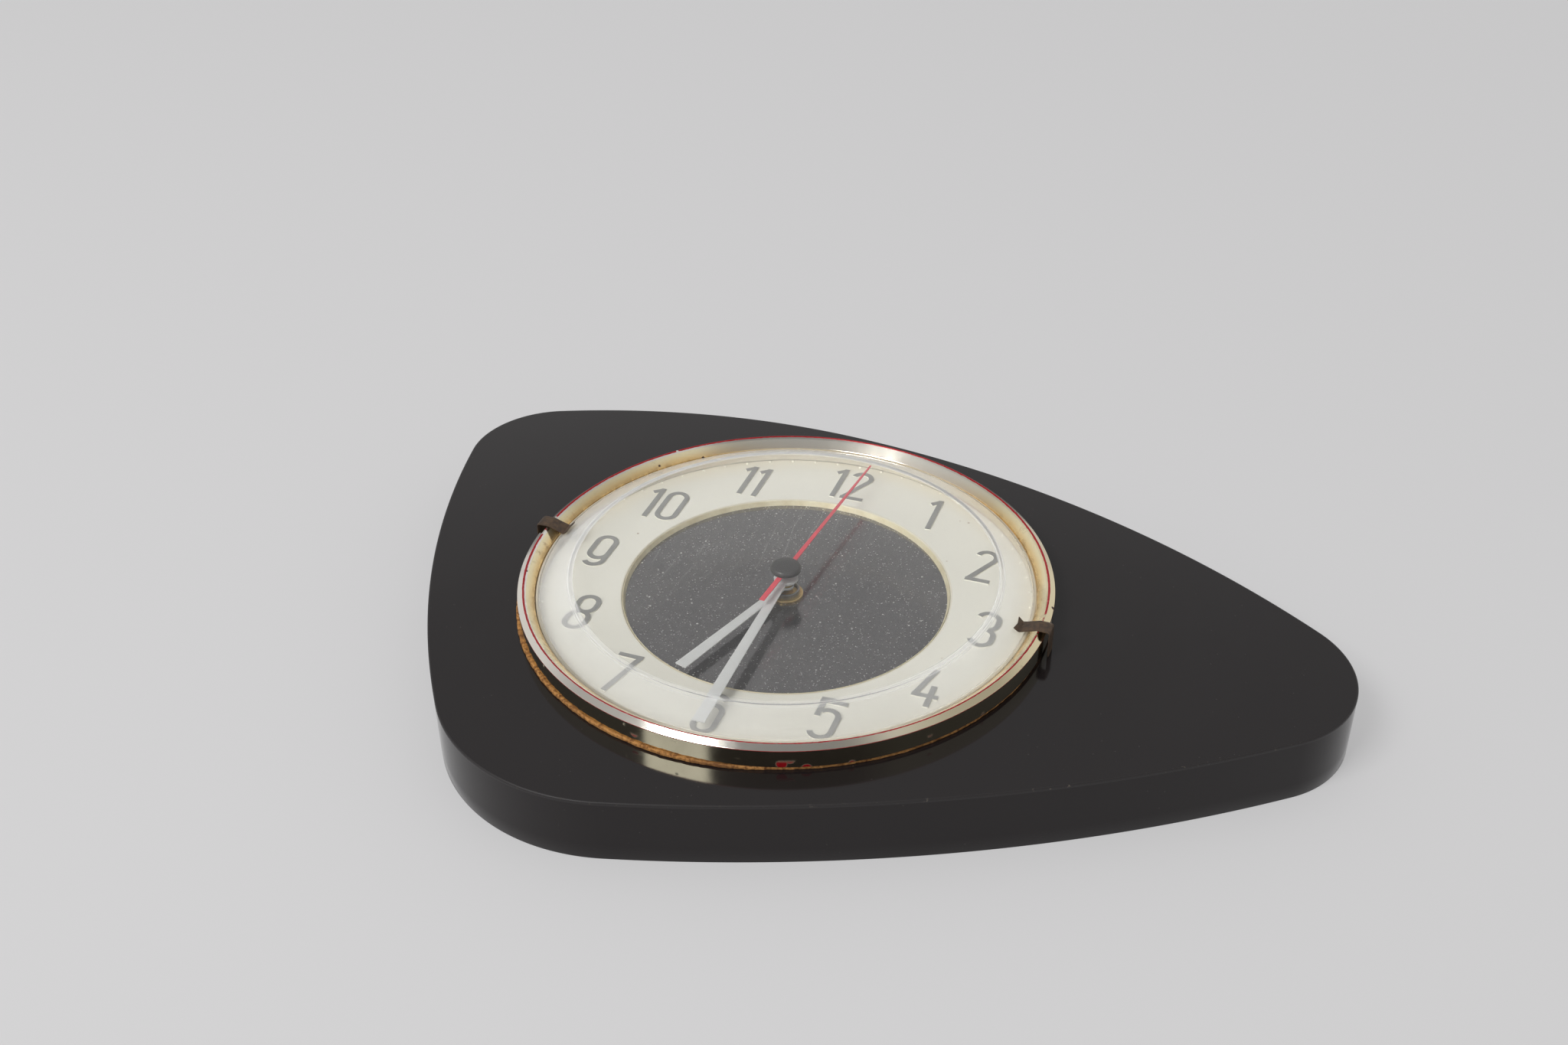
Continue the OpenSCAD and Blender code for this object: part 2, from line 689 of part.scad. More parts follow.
// Dial
module dial_sheet() {
    at_dial() color([0.84, 0.82, 0.76]) difference() {
        rotate_extrude($fn = 180) polygon([[dial_r, board_t], [dial_r, dial_z], [sunk_r, dial_z],
            [sunk_r, pan_z], [bush_out, pan_z], [bush_out, pan_under], [sunk_r + dial_t, pan_under],
            [sunk_r + dial_t, board_t]]);
        ring_of(stud_angles, stud_circle_r) translate([0, 0, board_t - over])
            cylinder(r = stud_r, h = dial_t + 2 * over);
    }
}
module bar(a, b, w) {
    along = (b - a) / norm(b - a);
    side = [-along[1], along[0]] * w / 2;
    polygon([a - side, b - side, b + side, a + side]);
}
module bend(c, from, to) {
    outer = [for (k = [0 : bend_steps]) let (t = from + (to - from) * k / bend_steps)
        c + polar(bend_r + stroke_w / 2, t)];
    inner = [for (k = [0 : bend_steps]) let (t = to + (from - to) * k / bend_steps)
        c + polar(bend_r - stroke_w / 2, t)];
    polygon(concat(outer, inner));
}
// One side of a closed loop that runs from height low to height high
module loop_side(s, low, high) {
    bar([s * bend_r, low + half_w], [s * bend_r, high - half_w], stroke_w);
}
module loop(low, high) {
    bend([0, high - half_w], 0, 180);
    bend([0, low + half_w], 180, 360);
    loop_side(-1, low, high);
    loop_side(1, low, high);
}
module six() {
    waist = half_h * 0.12;
    loop(-half_h, waist + half_w);
    bend([0, bend_y], 35, 180);
    bar([-bend_r, waist], [-bend_r, bend_y], stroke_w);
}
module figure(n) {
    middle = stroke_w / 2;
    if (n == 0) loop(-half_h, half_h);
    if (n == 1) {
        bar([one_x, -half_h], [one_x, half_h], stroke_w);
        bar([one_x, half_h - middle], [one_x - 1.5 * stroke_w, half_h - 1.7 * stroke_w], stroke_w);
    }
    if (n == 2) {
        bend([0, bend_y], -35, 165);
        bar([0, bend_y] + polar(bend_r, -35), [-bend_r, -half_h + middle], stroke_w);
        bar([-half_w, -half_h + middle], [half_w, -half_h + middle], stroke_w);
    }
    if (n == 3) {
        bend([0, bend_y], 0, 160);
        loop_side(1, -middle, half_h);
        bend([0, half_w - middle], -80, 0);
        bend([0, middle - half_w], 0, 80);
        loop_side(1, -half_h, middle);
        bend([0, -bend_y], -160, 0);
    }
    if (n == 4) {
        bar([half_w * 0.1, half_h - middle / 2], [-half_w + middle, -half_h * 0.45], stroke_w);
        bar([-half_w, -half_h * 0.45], [half_w, -half_h * 0.45], stroke_w);
        bar([half_w * 0.4, half_h * 0.1], [half_w * 0.4, -half_h], stroke_w);
    }
    if (n == 5) {
        bar([-bend_r, half_h - middle], [half_w, half_h - middle], stroke_w);
        bar([-bend_r, half_h], [-bend_r, middle], stroke_w);
        bend([0, middle * 1.3], 0, 140);
        bar([bend_r, -bend_y], [bend_r, middle * 1.3], stroke_w);
        bend([0, -bend_y], -160, 0);
    }
    if (n == 6) six();
    if (n == 7) {
        bar([-half_w, half_h - middle], [half_w, half_h - middle], stroke_w);
        bar([half_w - middle, half_h - middle], [-half_w * 0.35, -half_h], stroke_w);
    }
    if (n == 8) {
        loop(-half_h, middle);
        loop(-middle, half_h);
    }
    if (n == 9) rotate(180) six();
}
function figure_w(n) = n == 1 ? numeral_w * narrow_share : numeral_w;
pair_gap = stroke_w * 0.7;
module numeral(n) {
    if (n < 10) figure(n);
    if (n >= 10) {
        second = n % 10;
        half_pitch = (figure_w(1) + figure_w(second)) / 4 + pair_gap / 2;
        lean = (figure_w(second) - figure_w(1)) / 8;
        translate([-half_pitch - lean, 0]) figure(1);
        translate([half_pitch - lean, 0]) figure(second);
    }
}
module numerals() {
    at_dial() color([0.58, 0.58, 0.58]) for (n = [1 : 12])
        translate(concat(polar(numeral_circle_r, 90 - 30 * n), dial_z))
        linear_extrude(numeral_relief) numeral(n);
}
module minute_dots() {
    at_dial() color([0.75, 0.72, 0.66]) ring_of([for (k = [0 : 59]) 6 * k], dot_circle_r)
        translate([0, 0, dial_z]) cylinder(r = dot_r, h = dot_h, $fn = 16);
}
trim_w = 0.8;
trim_h = sunk_depth - disc_t - end_play;
lining_r = sunk_r - loose / 3;
module centre_disc() {
    at_dial() color([0.3, 0.29, 0.3]) tube(lining_r, bush_out, pan_z, disc_t, $fn = 180);
}
module trim_ring() {
    at_dial() color([0.72, 0.66, 0.5]) rotate_extrude($fn = 180) polygon([[lining_r, disc_z],
        [lining_r, disc_z + trim_h], [lining_r - trim_w / 4, disc_z + trim_h], [lining_r - trim_w, disc_z]]);
}

// Pieces on the dial axis
module centre_nut() {
    at_dial() color([0.7, 0.55, 0.3]) {
        tube(nut_flange_r, bush_out, disc_z, nut_flange_h);
        tube(cup_out, cup_in, cup_z, cup_h);
    }
}
module centre_bush() {
    at_dial() color([0.75, 0.63, 0.38]) {
        tube(bush_out, bush_in, case_ceiling, bush_top - case_ceiling);
        tube(bush_out + arbor_r, bush_in, case_ceiling - arbor_r, arbor_r);
    }
}
module case_washer() {
    at_dial() color([0.25, 0.25, 0.25]) tube(nut_flange_r + 2 * arbor_r, bush_out, case_top, washer_t);
}
module strip(length, tail, hub_w, tip_w) {
    polygon([[-hub_w / 2, -tail], [hub_w / 2, -tail], [tip_w / 2, length], [-tip_w / 2, length]]);
}
module flat_hand(length, angle, z, bore_r, hub_r) {
    rotate(-angle) difference() {
        union() {
            translate([0, 0, z]) linear_extrude(hand_t) strip(length, 0, hand_hub_w, hand_tip_w);
            disc_at(hub_r, z + hand_t - hub_h, hub_h);
        }
        translate([0, 0, z - hub_h - over]) cylinder(r = bore_r, h = 2 * hub_h + 2 * over);
    }
}
module hour_hand() {
    at_dial() color([0.75, 0.75, 0.74]) flat_hand(hour_len, hour_angle, hour_z, hour_out, hour_hub_r);
}
module minute_hand() {
    at_dial() color([0.75, 0.75, 0.74])
        flat_hand(minute_len, minute_angle, minute_z, pipe_out, minute_hub_r);
}
module seconds_hand() {
    at_dial() color([0.78, 0.25, 0.3]) rotate(-seconds_angle) translate([0, 0, seconds_z])
        linear_extrude(seconds_t) difference() {
            union() {
                strip(seconds_len, 0, seconds_hub_w, seconds_tip_w);
                translate([-seconds_hub_w / 2, -seconds_tail]) square([seconds_hub_w, seconds_tail]);
                circle(r = cap_r / 2);
            }
            circle(r = seconds_r);
        }
}
module seconds_cap() {
    edge = cap_h * 0.45;
    at_dial() color([0.13, 0.12, 0.12]) difference() {
        rotate_extrude() polygon([[0, cap_z], [cap_r, cap_z], [cap_r, cap_z + edge],
            [cap_r * 0.93, cap_z + cap_h * 0.75], [cap_r * 0.75, cap_z + cap_h * 0.92], [0, cap_z + cap_h]]);
        translate([0, 0, cap_z - over]) cylinder(r = seconds_r, h = edge + over);
    }
}

// Wheels
module toothed(teeth, m) {
    r = teeth * m / 2;
    tip_r = r + addendum_share * m;
    base_r = r - dedendum_share * m;
    step = 360 / teeth;
    polygon([for (k = [0 : teeth - 1]) for (p = [[base_r, -root_share], [tip_r, -tip_share],
        [tip_r, tip_share], [base_r, root_share]]) polar(p[0], (k + p[1] / 2) * step)]);
}
module wheel(teeth, m, z, h, bore_r, turn) {
    translate([0, 0, z]) difference() {
        rotate(turn) linear_extrude(h) toothed(teeth, m);
        translate([0, 0, -over]) cylinder(r = bore_r, h = h + 2 * over);
    }
}
module seconds_arbor() {
    at_dial() color([0.7, 0.7, 0.72]) {
        disc_at(seconds_r, plate_z, cap_z + cap_h * 0.45 - plate_z);
        translate([0, 0, seconds_pinion_z]) linear_extrude(seconds_pinion_h) toothed(leaves, third_m);
    }
}
module seconds_wheel() {
    at_dial() color([0.8, 0.66, 0.35])
        wheel(seconds_teeth, escape_m, seconds_wheel_z, wheel_t, seconds_r, 0);
}
third_turn = meshed(third_dir, 0, leaves, third_teeth);
centre_turn = meshed(third_dir + 180, 0, leaves, centre_teeth);
escape_turn = meshed(escape_dir, 0, seconds_teeth, escape_leaves);
minute_turn = meshed(minute_dir, 0, cannon_teeth, minute_teeth);
hour_turn = meshed(minute_dir + 180, 0, minute_leaves, hour_teeth);
set_turn = meshed(set_dir, minute_turn, minute_teeth, set_teeth);
module third_wheel() {
    at_dial() translate(third_at) color([0.8, 0.66, 0.35])
        wheel(third_teeth, third_m, third_wheel_z, wheel_t, arbor_r, third_turn);
}
module third_arbor() {
    at_dial() translate(third_at) color([0.7, 0.7, 0.72]) {
        disc_at(arbor_r, plate_z, front_top - plate_z);
        translate([0, 0, third_pinion_z]) linear_extrude(third_pinion_h) toothed(leaves, centre_m);
    }
}
module centre_wheel() {
    at_dial() color([0.8, 0.66, 0.35])
        wheel(centre_teeth, centre_m, centre_wheel_z, wheel_t, pipe_out, centre_turn);
}
module cannon_pinion() {
    bottom = centre_wheel_z - wheel_t;
    at_dial() color([0.7, 0.7, 0.72]) difference() {
        union() {
            disc_at(pipe_out, bottom, minute_z + hand_t - bottom);
            translate([0, 0, cannon_z]) linear_extrude(cannon_h) toothed(cannon_teeth, motion_m);
        }
        translate([0, 0, bottom - over]) cylinder(r = pipe_in, h = minute_z + 2 * over);
    }
}
module minute_wheel() {
    at_dial() translate(minute_at) color([0.8, 0.66, 0.35]) {
        wheel(minute_teeth, motion_m, minute_wheel_z, wheel_t, post_r + run, minute_turn);
        wheel(minute_leaves, hour_m, minute_leaf_z, minute_leaf_h, post_r + run, 0);
    }
}
module hour_wheel() {
    at_dial() color([0.8, 0.66, 0.35]) difference() {
        union() {
            translate([0, 0, hour_wheel_z]) rotate(hour_turn)
                linear_extrude(wheel_t) toothed(hour_teeth, hour_m);
            disc_at(hour_out, hour_wheel_z, hour_z + hand_t - hour_wheel_z);
        }
        translate([0, 0, hour_wheel_z - over]) cylinder(r = hour_in, h = hour_z);
    }
}
module escape_wheel() {
    step = 360 / escape_teeth;
    at_dial() translate(escape_at) color([0.82, 0.8, 0.72]) translate([0, 0, escape_wheel_z])
        linear_extrude(wheel_t) difference() {
            polygon([for (k = [0 : escape_teeth - 1]) for (p = [[escape_r * 0.74, 0], [escape_r, 0.1],
                [escape_r, 0.2], [escape_r * 0.74, 0.6]]) polar(p[0], (k + p[1]) * step)]);
            circle(r = arbor_r);
        }
}
module escape_arbor() {
    at_dial() translate(escape_at) color([0.7, 0.7, 0.72]) {
        disc_at(arbor_r, plate_z, front_top - plate_z);
        translate([0, 0, escape_pinion_z]) rotate(escape_turn)
            linear_extrude(escape_pinion_h) toothed(escape_leaves, escape_m);
    }
}

// Lever, balance and its spring. The lever lies just above the escape wheel
// and just below the roller's pin, so that neither can foul it.
module pallet_fork() {
    to_escape = [-fork_span, 0];
    at_dial() translate(fork_at) rotate(lever_dir) color([0.72, 0.72, 0.74])
        translate([0, 0, fork_z]) linear_extrude(wheel_t) difference() {
            union() {
                circle(r = fork_hub_r);
                for (s = [-1, 1]) {
                    bar([0, 0], to_escape + polar(escape_r, s * pallet_spread), fork_bar_w);
                    bar([fork_reach - fork_hub_r, s * horn_gap], [fork_reach, s * horn_gap], horn_w);
                }
                bar([0, 0], [fork_reach - fork_hub_r, 0], fork_bar_w);
                bar([fork_reach - fork_hub_r, -horn_gap - horn_w / 2],
                    [fork_reach - fork_hub_r, horn_gap + horn_w / 2], horn_w);
            }
            circle(r = fork_post_r + run);
        }
}
// Fixed posts on which the lever and the minute wheel turn
module posts() {
    at_dial() color([0.7, 0.7, 0.72]) {
        translate(fork_at) disc_at(fork_post_r, plate_z, fork_z + wheel_t + end_play - plate_z);
        translate(minute_at) disc_at(post_r, front_z, minute_leaf_z + minute_leaf_h + end_play - front_z);
    }
}
module balance_wheel() {
    at_dial() translate(balance_at) rotate(lever_dir) color([0.82, 0.72, 0.45])
        translate([0, 0, balance_z]) linear_extrude(balance_t) difference() {
            union() {
                difference() {
                    circle(r = balance_r);
                    circle(r = balance_r - rim_w);
                }
                intersection() {
                    circle(r = balance_r - rim_w / 2);
                    translate([-balance_r, -spoke_w / 2]) square([2 * balance_r, spoke_w]);
                }
            }
            circle(r = staff_r);
        }
}
module balance_staff() {
    at_dial() translate(balance_at) rotate(lever_dir + 180) color([0.7, 0.7, 0.72]) {
        disc_at(pivot_r, plate_z, front_top - plate_z);
        disc_at(staff_r, floor_z + boss_h + end_play, front_z - floor_z - boss_h - 2 * end_play);
        disc_at(collet_r, spring_z, spring_h);
        disc_at(roller_r, roller_z, wheel_t);
        translate([roller_r - 1.5 * roller_pin_r, 0, roller_pin_z])
            cylinder(r = roller_pin_r, h = wheel_t, $fn = 24);
    }
}
module balance_magnets() {
    at_dial() translate(balance_at) rotate(lever_dir) color([0.35, 0.35, 0.38]) for (s = [-1, 1])
        translate([s * (balance_r - rim_w / 2 - magnet_r), 0, magnet_z])
            cylinder(r = magnet_r, h = magnet_t);
}
module hairspring() {
    count = spring_turns * spring_steps;
    pitch = (spring_out - spring_in) / count;
    step = 360 / spring_steps;
    at_dial() translate(balance_at) rotate(stud_dir) color([0.35, 0.4, 0.55])
        translate([0, 0, spring_z]) linear_extrude(spring_h) polygon(concat(
            [for (k = [0 : count]) polar(spring_out - pitch * k + spring_t / 2, k * step)],
            [for (k = [0 : count]) polar(spring_in + pitch * k - spring_t / 2, (count - k) * step)]));
}
module spring_stud() {
    at_dial() translate(balance_at) rotate(stud_dir) color([0.7, 0.7, 0.72])
        translate([spring_out - spring_stud_w / 2, -spring_stud_w, floor_z])
        cube([spring_stud_w, spring_stud_w, spring_z + spring_h - floor_z]);
}
module regulator_lever() {
    pin_z = spring_z + spring_h;
    at_dial() translate(balance_at) rotate(regulator_dir) color([0.72, 0.72, 0.74]) {
        translate([0, 0, regulator_z]) linear_extrude(regulator_t) difference() {
            union() {
                circle(r = boss_r + regulator_w / 2);
                bar([boss_r + run, 0], [regulator_len + tail_r, 0], regulator_w);
            }
            circle(r = boss_r + run);
        }
        for (r = [-curb_gap, curb_gap]) translate([curb_circle_r + r, 0, regulator_z])
            cylinder(r = curb_r, h = pin_z - regulator_z, $fn = 24);
        translate([regulator_len, 0, knob_z]) cylinder(r = tail_r, h = regulator_z - knob_z, $fn = 32);
    }
}
module coil() {
    low = spool_z + spool_flange;
    at_dial() translate(coil_at) color([0.65, 0.35, 0.2])
        tube(spool_r - spool_flange / 2, spool_core_r, low, spool_top - spool_flange - low);
}
module coil_spool() {
    at_dial() translate(coil_at) color([0.9, 0.88, 0.8]) {
        disc_at(spool_core_r, floor_z, spool_top - floor_z);
        disc_at(spool_r, spool_z, spool_flange);
        disc_at(spool_r, spool_top - spool_flange, spool_flange);
    }
}
module circuit_board() {
    at_dial() color([0.5, 0.35, 0.18]) translate([card_x, card_y, floor_z]) cube([card_l, card_w, card_t]);
}
// A transistor in its can and a capacitor lying beside it
module circuit_parts() {
    at_dial() color([0.8, 0.8, 0.8]) translate([card_x, card_y, floor_z + card_t]) {
        translate([2 * transistor_r, 2 * transistor_r, 0]) cylinder(r = transistor_r, h = transistor_h);
        translate([capacitor_r, card_w - 1.5 * capacitor_r, capacitor_r])
            rotate([0, 90, 0]) cylinder(r = capacitor_r, h = capacitor_l);
    }
}

// Frame of the movement
module plate(z) {
    r = plate_corner;
    l = plate_left + plate_right;
    w = plate_low + plate_high;
    translate([0, 0, z]) linear_extrude(plate_t) difference() {
        union() {
            translate([plate_x[0] + r, plate_y[0]]) square([l - 2 * r, w]);
            translate([plate_x[0], plate_y[0] + r]) square([l, w - 2 * r]);
            for (x = [plate_x[0] + r, plate_x[1] - r]) for (y = [plate_y[0] + r, plate_y[1] - r])
                translate([x, y]) circle(r = r);
        }
        for (p = pillar_at) translate(p) circle(r = screw_r);
        for (p = [third_at, escape_at]) translate(p) circle(r = arbor_r + run);
        translate(balance_at) circle(r = pivot_r + run);
        translate(set_at) circle(r = set_r + run);
    }
}
// A curved slot round the balance axis in which the regulator's tail swings
module tail_slot() {
    steps = 12;
    r_in = regulator_len - window_w;
    r_out = regulator_len + window_w;
    from = regulator_dir - window_swing;
    translate(balance_at) polygon(concat(
        [for (k = [0 : steps]) polar(r_out, from + 2 * window_swing * k / steps)],
        [for (k = [0 : steps]) polar(r_in, from + 2 * window_swing * (steps - k) / steps)]));
}
module back_plate() {
    at_dial() color([0.78, 0.65, 0.38]) {
        difference() {
            plate(plate_z);
            translate([0, 0, plate_z - over]) {
                cylinder(r = seconds_r + run, h = plate_t + 2 * over);
                linear_extrude(plate_t + 2 * over) tail_slot();
                translate(fork_at) cylinder(r = fork_post_r, h = plate_t + 2 * over);
            }
        }
        translate(balance_at) tube(boss_r, pivot_r + run, floor_z, boss_h);
    }
}
module front_plate() {
    at_dial() color([0.78, 0.65, 0.38]) difference() {
        plate(front_z);
        translate([0, 0, front_z - over]) {
            cylinder(r = pipe_out + run, h = plate_t + 2 * over);
            translate(minute_at) cylinder(r = post_r, h = plate_t + 2 * over);
        }
    }
}
module pillars() {
    at_dial() color([0.78, 0.68, 0.42]) for (p = pillar_at) translate(p)
        tube(pillar_r, screw_r, floor_z, plate_gap);
}
module front_spacers() {
    at_dial() color([0.78, 0.68, 0.42]) for (p = pillar_at) translate(p)
        tube(pillar_r, screw_r, front_top, case_ceiling - front_top);
}
module movement_screws() {
    at_dial() color([0.7, 0.7, 0.7]) for (p = pillar_at) translate(p) {
        disc_at(screw_head_r, plate_z - screw_head_h, screw_head_h);
        disc_at(screw_r, plate_z, case_top - plate_z);
    }
}
module movement_case() {
    l = case_x[1] - case_x[0];
    w = case_y[1] - case_y[0];
    at_dial() color([0.8, 0.78, 0.7]) difference() {
        translate([case_x[0], case_y[0], plate_z]) cube([l, w, case_top - plate_z]);
        translate([case_x[0] + case_wall, case_y[0] + case_wall, plate_z - over])
            cube([l - 2 * case_wall, w - 2 * case_wall, case_ceiling - plate_z + over]);
        translate([0, 0, case_ceiling - over]) {
            cylinder(r = bush_out, h = case_front_t + 2 * over);
            for (p = pillar_at) translate(p) cylinder(r = screw_r, h = case_front_t + 2 * over);
        }
    }
}
module set_arbor() {
    at_dial() translate(set_at) color([0.7, 0.7, 0.72]) {
        disc_at(set_r, knob_z, cannon_z + cannon_h - knob_z);
        translate([0, 0, cannon_z]) rotate(set_turn) linear_extrude(cannon_h) toothed(set_teeth, motion_m);
    }
}
module set_knob() {
    groove = knob_r * 0.06;
    at_dial() translate(set_at) color([0.12, 0.12, 0.12]) translate([0, 0, knob_z]) difference() {
        cylinder(r = knob_r, h = knob_t);
        translate([0, 0, -over]) {
            cylinder(r = set_r, h = knob_t + 2 * over);
            for (k = [1 : knurls]) rotate(360 * k / knurls) translate([knob_r, 0, 0])
                cylinder(r = groove, h = knob_t + 2 * over, $fn = 12);
        }
    }
}

// Cell and its cradle
module cell_cradle() {
    l = cradle_in_l + cradle_wall;
    w = cradle_in_w + cradle_wall;
    at_dial() translate([cell_x, cell_y, 0]) color([0.2, 0.2, 0.2]) difference() {
        translate([-l, -w, plate_z]) cube([2 * l, 2 * w, cradle_top + roof_t - plate_z]);
        translate([-cradle_in_l, -cradle_in_w, plate_z - over])
            cube([2 * cradle_in_l, 2 * cradle_in_w, cradle_top - plate_z + over]);
    }
}
module cell() {
    at_dial() translate([cell_x - cell_len / 2, cell_y, cell_z]) rotate([0, 90, 0]) color([0.7, 0.3, 0.2]) {
        cylinder(r = cell_r, h = cell_len - nub_h);
        cylinder(r = nub_r, h = cell_len);
    }
}
module cell_contacts() {
    reach = contact_room - contact_t;
    at_dial() translate([cell_x, cell_y, 0]) color([0.75, 0.7, 0.5]) for (s = [-1, 1]) {
        translate([s * (cradle_in_l - contact_t / 2), 0, cell_z])
            cube([contact_t, 2 * cradle_in_w - 2 * loose, 2 * cell_r], center = true);
        translate([s * (cradle_in_l - contact_t - reach / 2), 0, cell_z])
            rotate([0, 90, 0]) cylinder(r = nub_r, h = reach, center = true);
    }
}

// Back of the clock
module back_cover() {
    gap = loose;
    at_dial() color([0.42, 0.3, 0.2]) difference() {
        disc_at(cover_r, cover_z, cover_t);
        translate([cell_x - hatch_l / 2 - gap, hinge_y - hinge_r - gap, cover_z - over])
            cube([hatch_l + 2 * gap, hatch_w + 2 * hinge_r + 2 * gap, cover_t + 2 * over]);
        translate([cell_x - hatch_l / 2 - gap - hinge_pin_l, hinge_y, hinge_z]) rotate([0, 90, 0])
            cylinder(r = hinge_pin_r + run, h = hatch_l + 2 * (gap + hinge_pin_l), $fn = 32);
        translate(concat(set_at, cover_z - over)) cylinder(r = cover_hole_r, h = cover_t + 2 * over);
        translate([0, 0, cover_z - over]) linear_extrude(cover_t + 2 * over) tail_slot();
        ring_of(cover_screw_angles, cover_screw_circle)
            translate([0, 0, cover_z - over]) cylinder(r = cover_screw_r, h = cover_t + 2 * over);
    }
}
module battery_hatch() {
    pin_l = hatch_l + 2 * (loose + hinge_pin_l - end_play);
    at_dial() color([0.36, 0.26, 0.18]) {
        translate([cell_x - hatch_l / 2, hinge_y, cover_z]) cube([hatch_l, hatch_w + hinge_r, cover_t]);
        translate([cell_x - hatch_l / 2, hinge_y, hinge_z]) rotate([0, 90, 0])
            cylinder(r = hinge_r, h = hatch_l, $fn = 48);
        translate([cell_x - pin_l / 2, hinge_y, hinge_z]) rotate([0, 90, 0])
            cylinder(r = hinge_pin_r, h = pin_l, $fn = 32);
    }
}
module cover_screws() {
    at_dial() color([0.7, 0.7, 0.7]) ring_of(cover_screw_angles, cover_screw_circle) {
        disc_at(2 * cover_screw_r, cover_z - cover_screw_r / 2, cover_screw_r / 2);
        disc_at(cover_screw_r, cover_z, counterbore_depth - cover_z);
    }
}
module countersink() { cylinder(r1 = 2 * hanger_screw_r, r2 = hanger_screw_r, h = hanger_t); }
module at_hanger_screws() { at_hanger() for (s = [-1, 1]) translate([s * hanger_screw_at, 0, 0])
    children(); }
module hanger_plate() {
    at_dial() color([0.6, 0.6, 0.58]) difference() {
        at_hanger() linear_extrude(hanger_t) difference() {
            translate([-hanger_l / 2, -hanger_w / 2]) square([hanger_l, hanger_w]);
            keyhole();
        }
        at_hanger_screws() countersink();
    }
}
module hanger_screws() {
    at_dial() color([0.7, 0.7, 0.7]) at_hanger_screws() {
        countersink();
        disc_at(hanger_screw_r, hanger_t, counterbore_depth - hanger_t);
    }
}

board_core();
front_laminate();
edge_band();
backing_sheet();
bezel();
bezel_gasket();
bezel_studs();
stud_nuts();
crystal();
crystal_clips();
dial_sheet();
numerals();
minute_dots();
centre_disc();
trim_ring();
centre_nut();
centre_bush();
case_washer();
hour_hand();
minute_hand();
seconds_hand();
seconds_cap();
seconds_arbor();
seconds_wheel();
centre_wheel();
cannon_pinion();
third_wheel();
third_arbor();
minute_wheel();
hour_wheel();
escape_wheel();
escape_arbor();
pallet_fork();
posts();
balance_wheel();
balance_staff();
balance_magnets();
hairspring();
spring_stud();
regulator_lever();
coil();
coil_spool();
circuit_board();
circuit_parts();
back_plate();
front_plate();
pillars();
front_spacers();
movement_screws();
movement_case();
set_arbor();
set_knob();
cell_cradle();
cell();
cell_contacts();
back_cover();
cover_screws();
battery_hatch();
hanger_plate();
hanger_screws();
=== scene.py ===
import json
import math

import bpy
import numpy as np
from mathutils import Matrix, Vector


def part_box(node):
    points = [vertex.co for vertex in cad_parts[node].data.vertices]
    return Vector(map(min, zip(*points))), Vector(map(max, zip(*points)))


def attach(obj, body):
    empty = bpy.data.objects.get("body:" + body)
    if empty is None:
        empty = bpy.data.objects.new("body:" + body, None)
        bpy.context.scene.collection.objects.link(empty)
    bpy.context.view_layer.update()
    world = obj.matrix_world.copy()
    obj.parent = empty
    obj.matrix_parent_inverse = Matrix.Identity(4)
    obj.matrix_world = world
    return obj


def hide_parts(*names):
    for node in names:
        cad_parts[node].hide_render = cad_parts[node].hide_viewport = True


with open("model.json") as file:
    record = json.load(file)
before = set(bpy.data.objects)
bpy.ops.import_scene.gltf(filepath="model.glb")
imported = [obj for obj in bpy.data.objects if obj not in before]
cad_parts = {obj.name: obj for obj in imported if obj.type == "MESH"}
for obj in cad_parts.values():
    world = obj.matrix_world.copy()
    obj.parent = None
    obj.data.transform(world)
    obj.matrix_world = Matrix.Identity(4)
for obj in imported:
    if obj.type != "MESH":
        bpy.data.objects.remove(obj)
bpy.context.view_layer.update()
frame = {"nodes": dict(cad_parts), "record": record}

# Sizes in mm, with the dial's axis at x = 0, y = 0 and the table at z = 0.
MM = 0.001
low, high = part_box("centre_disc")
AXIS = (np.array(low) + np.array(high)) / 2 * [1, 1, 0] / MM

# The board: its face, the thickness of its black sheets, its rounded edge and the round hole in it.
BOARD_Z = 20.0
SHEET_T = 1.0
ARRIS = 0.5
CAVITY_R = 60.0

# The dial: its face and thickness, the floor and radius of its sunk middle, the dark disc in there,
# and the bore.
DIAL_Z = 20.5
DIAL_T = 0.5
PAN_Z = 18.5
PAN_R = 49.2
DISC_Z = 18.8
DISC_R = 49.1
BORE_R = 3.13

# The bezel's skirt with its upper end, and the bezel's crest.
SKIRT_R, SKIRT_Z = 79.8, 26.7
CREST_R = 78.0

# The crystal's shoulder and its upright rim.
SHOULDER_R = 64.5
RIM_R = 74.5

# The seconds hand: its underside, its upper face and its reach.
NEEDLE_Z, NEEDLE_TOP = 27.4, 27.7
NEEDLE_R = 64.5

# Where the hands point, in degrees from twelve.
HOUR_ANGLE = 198.0
MINUTE_ANGLE = 180.0
SECONDS_ANGLE = 5.5


# Shapes

def directions(degrees):
    """Unit vectors (cos t, sin t) for an array of angles in degrees."""
    t = np.radians(np.asarray(degrees, float))
    return np.stack([np.cos(t), np.sin(t)], -1)


def bearing(a, b):
    """The direction from a to b in degrees."""
    return math.degrees(math.atan2(b[1] - a[1], b[0] - a[0]))


def meeting(a, b, ra, rb):
    """The point at distance ra from a and rb from b, to the left on the way from a to b."""
    way = b - a
    length = np.hypot(*way)
    along = (ra * ra - rb * rb + length * length) / (2 * length)
    aside = math.sqrt(ra * ra - along * along)
    return a + (way * along + np.array([-way[1], way[0]]) * aside) / length


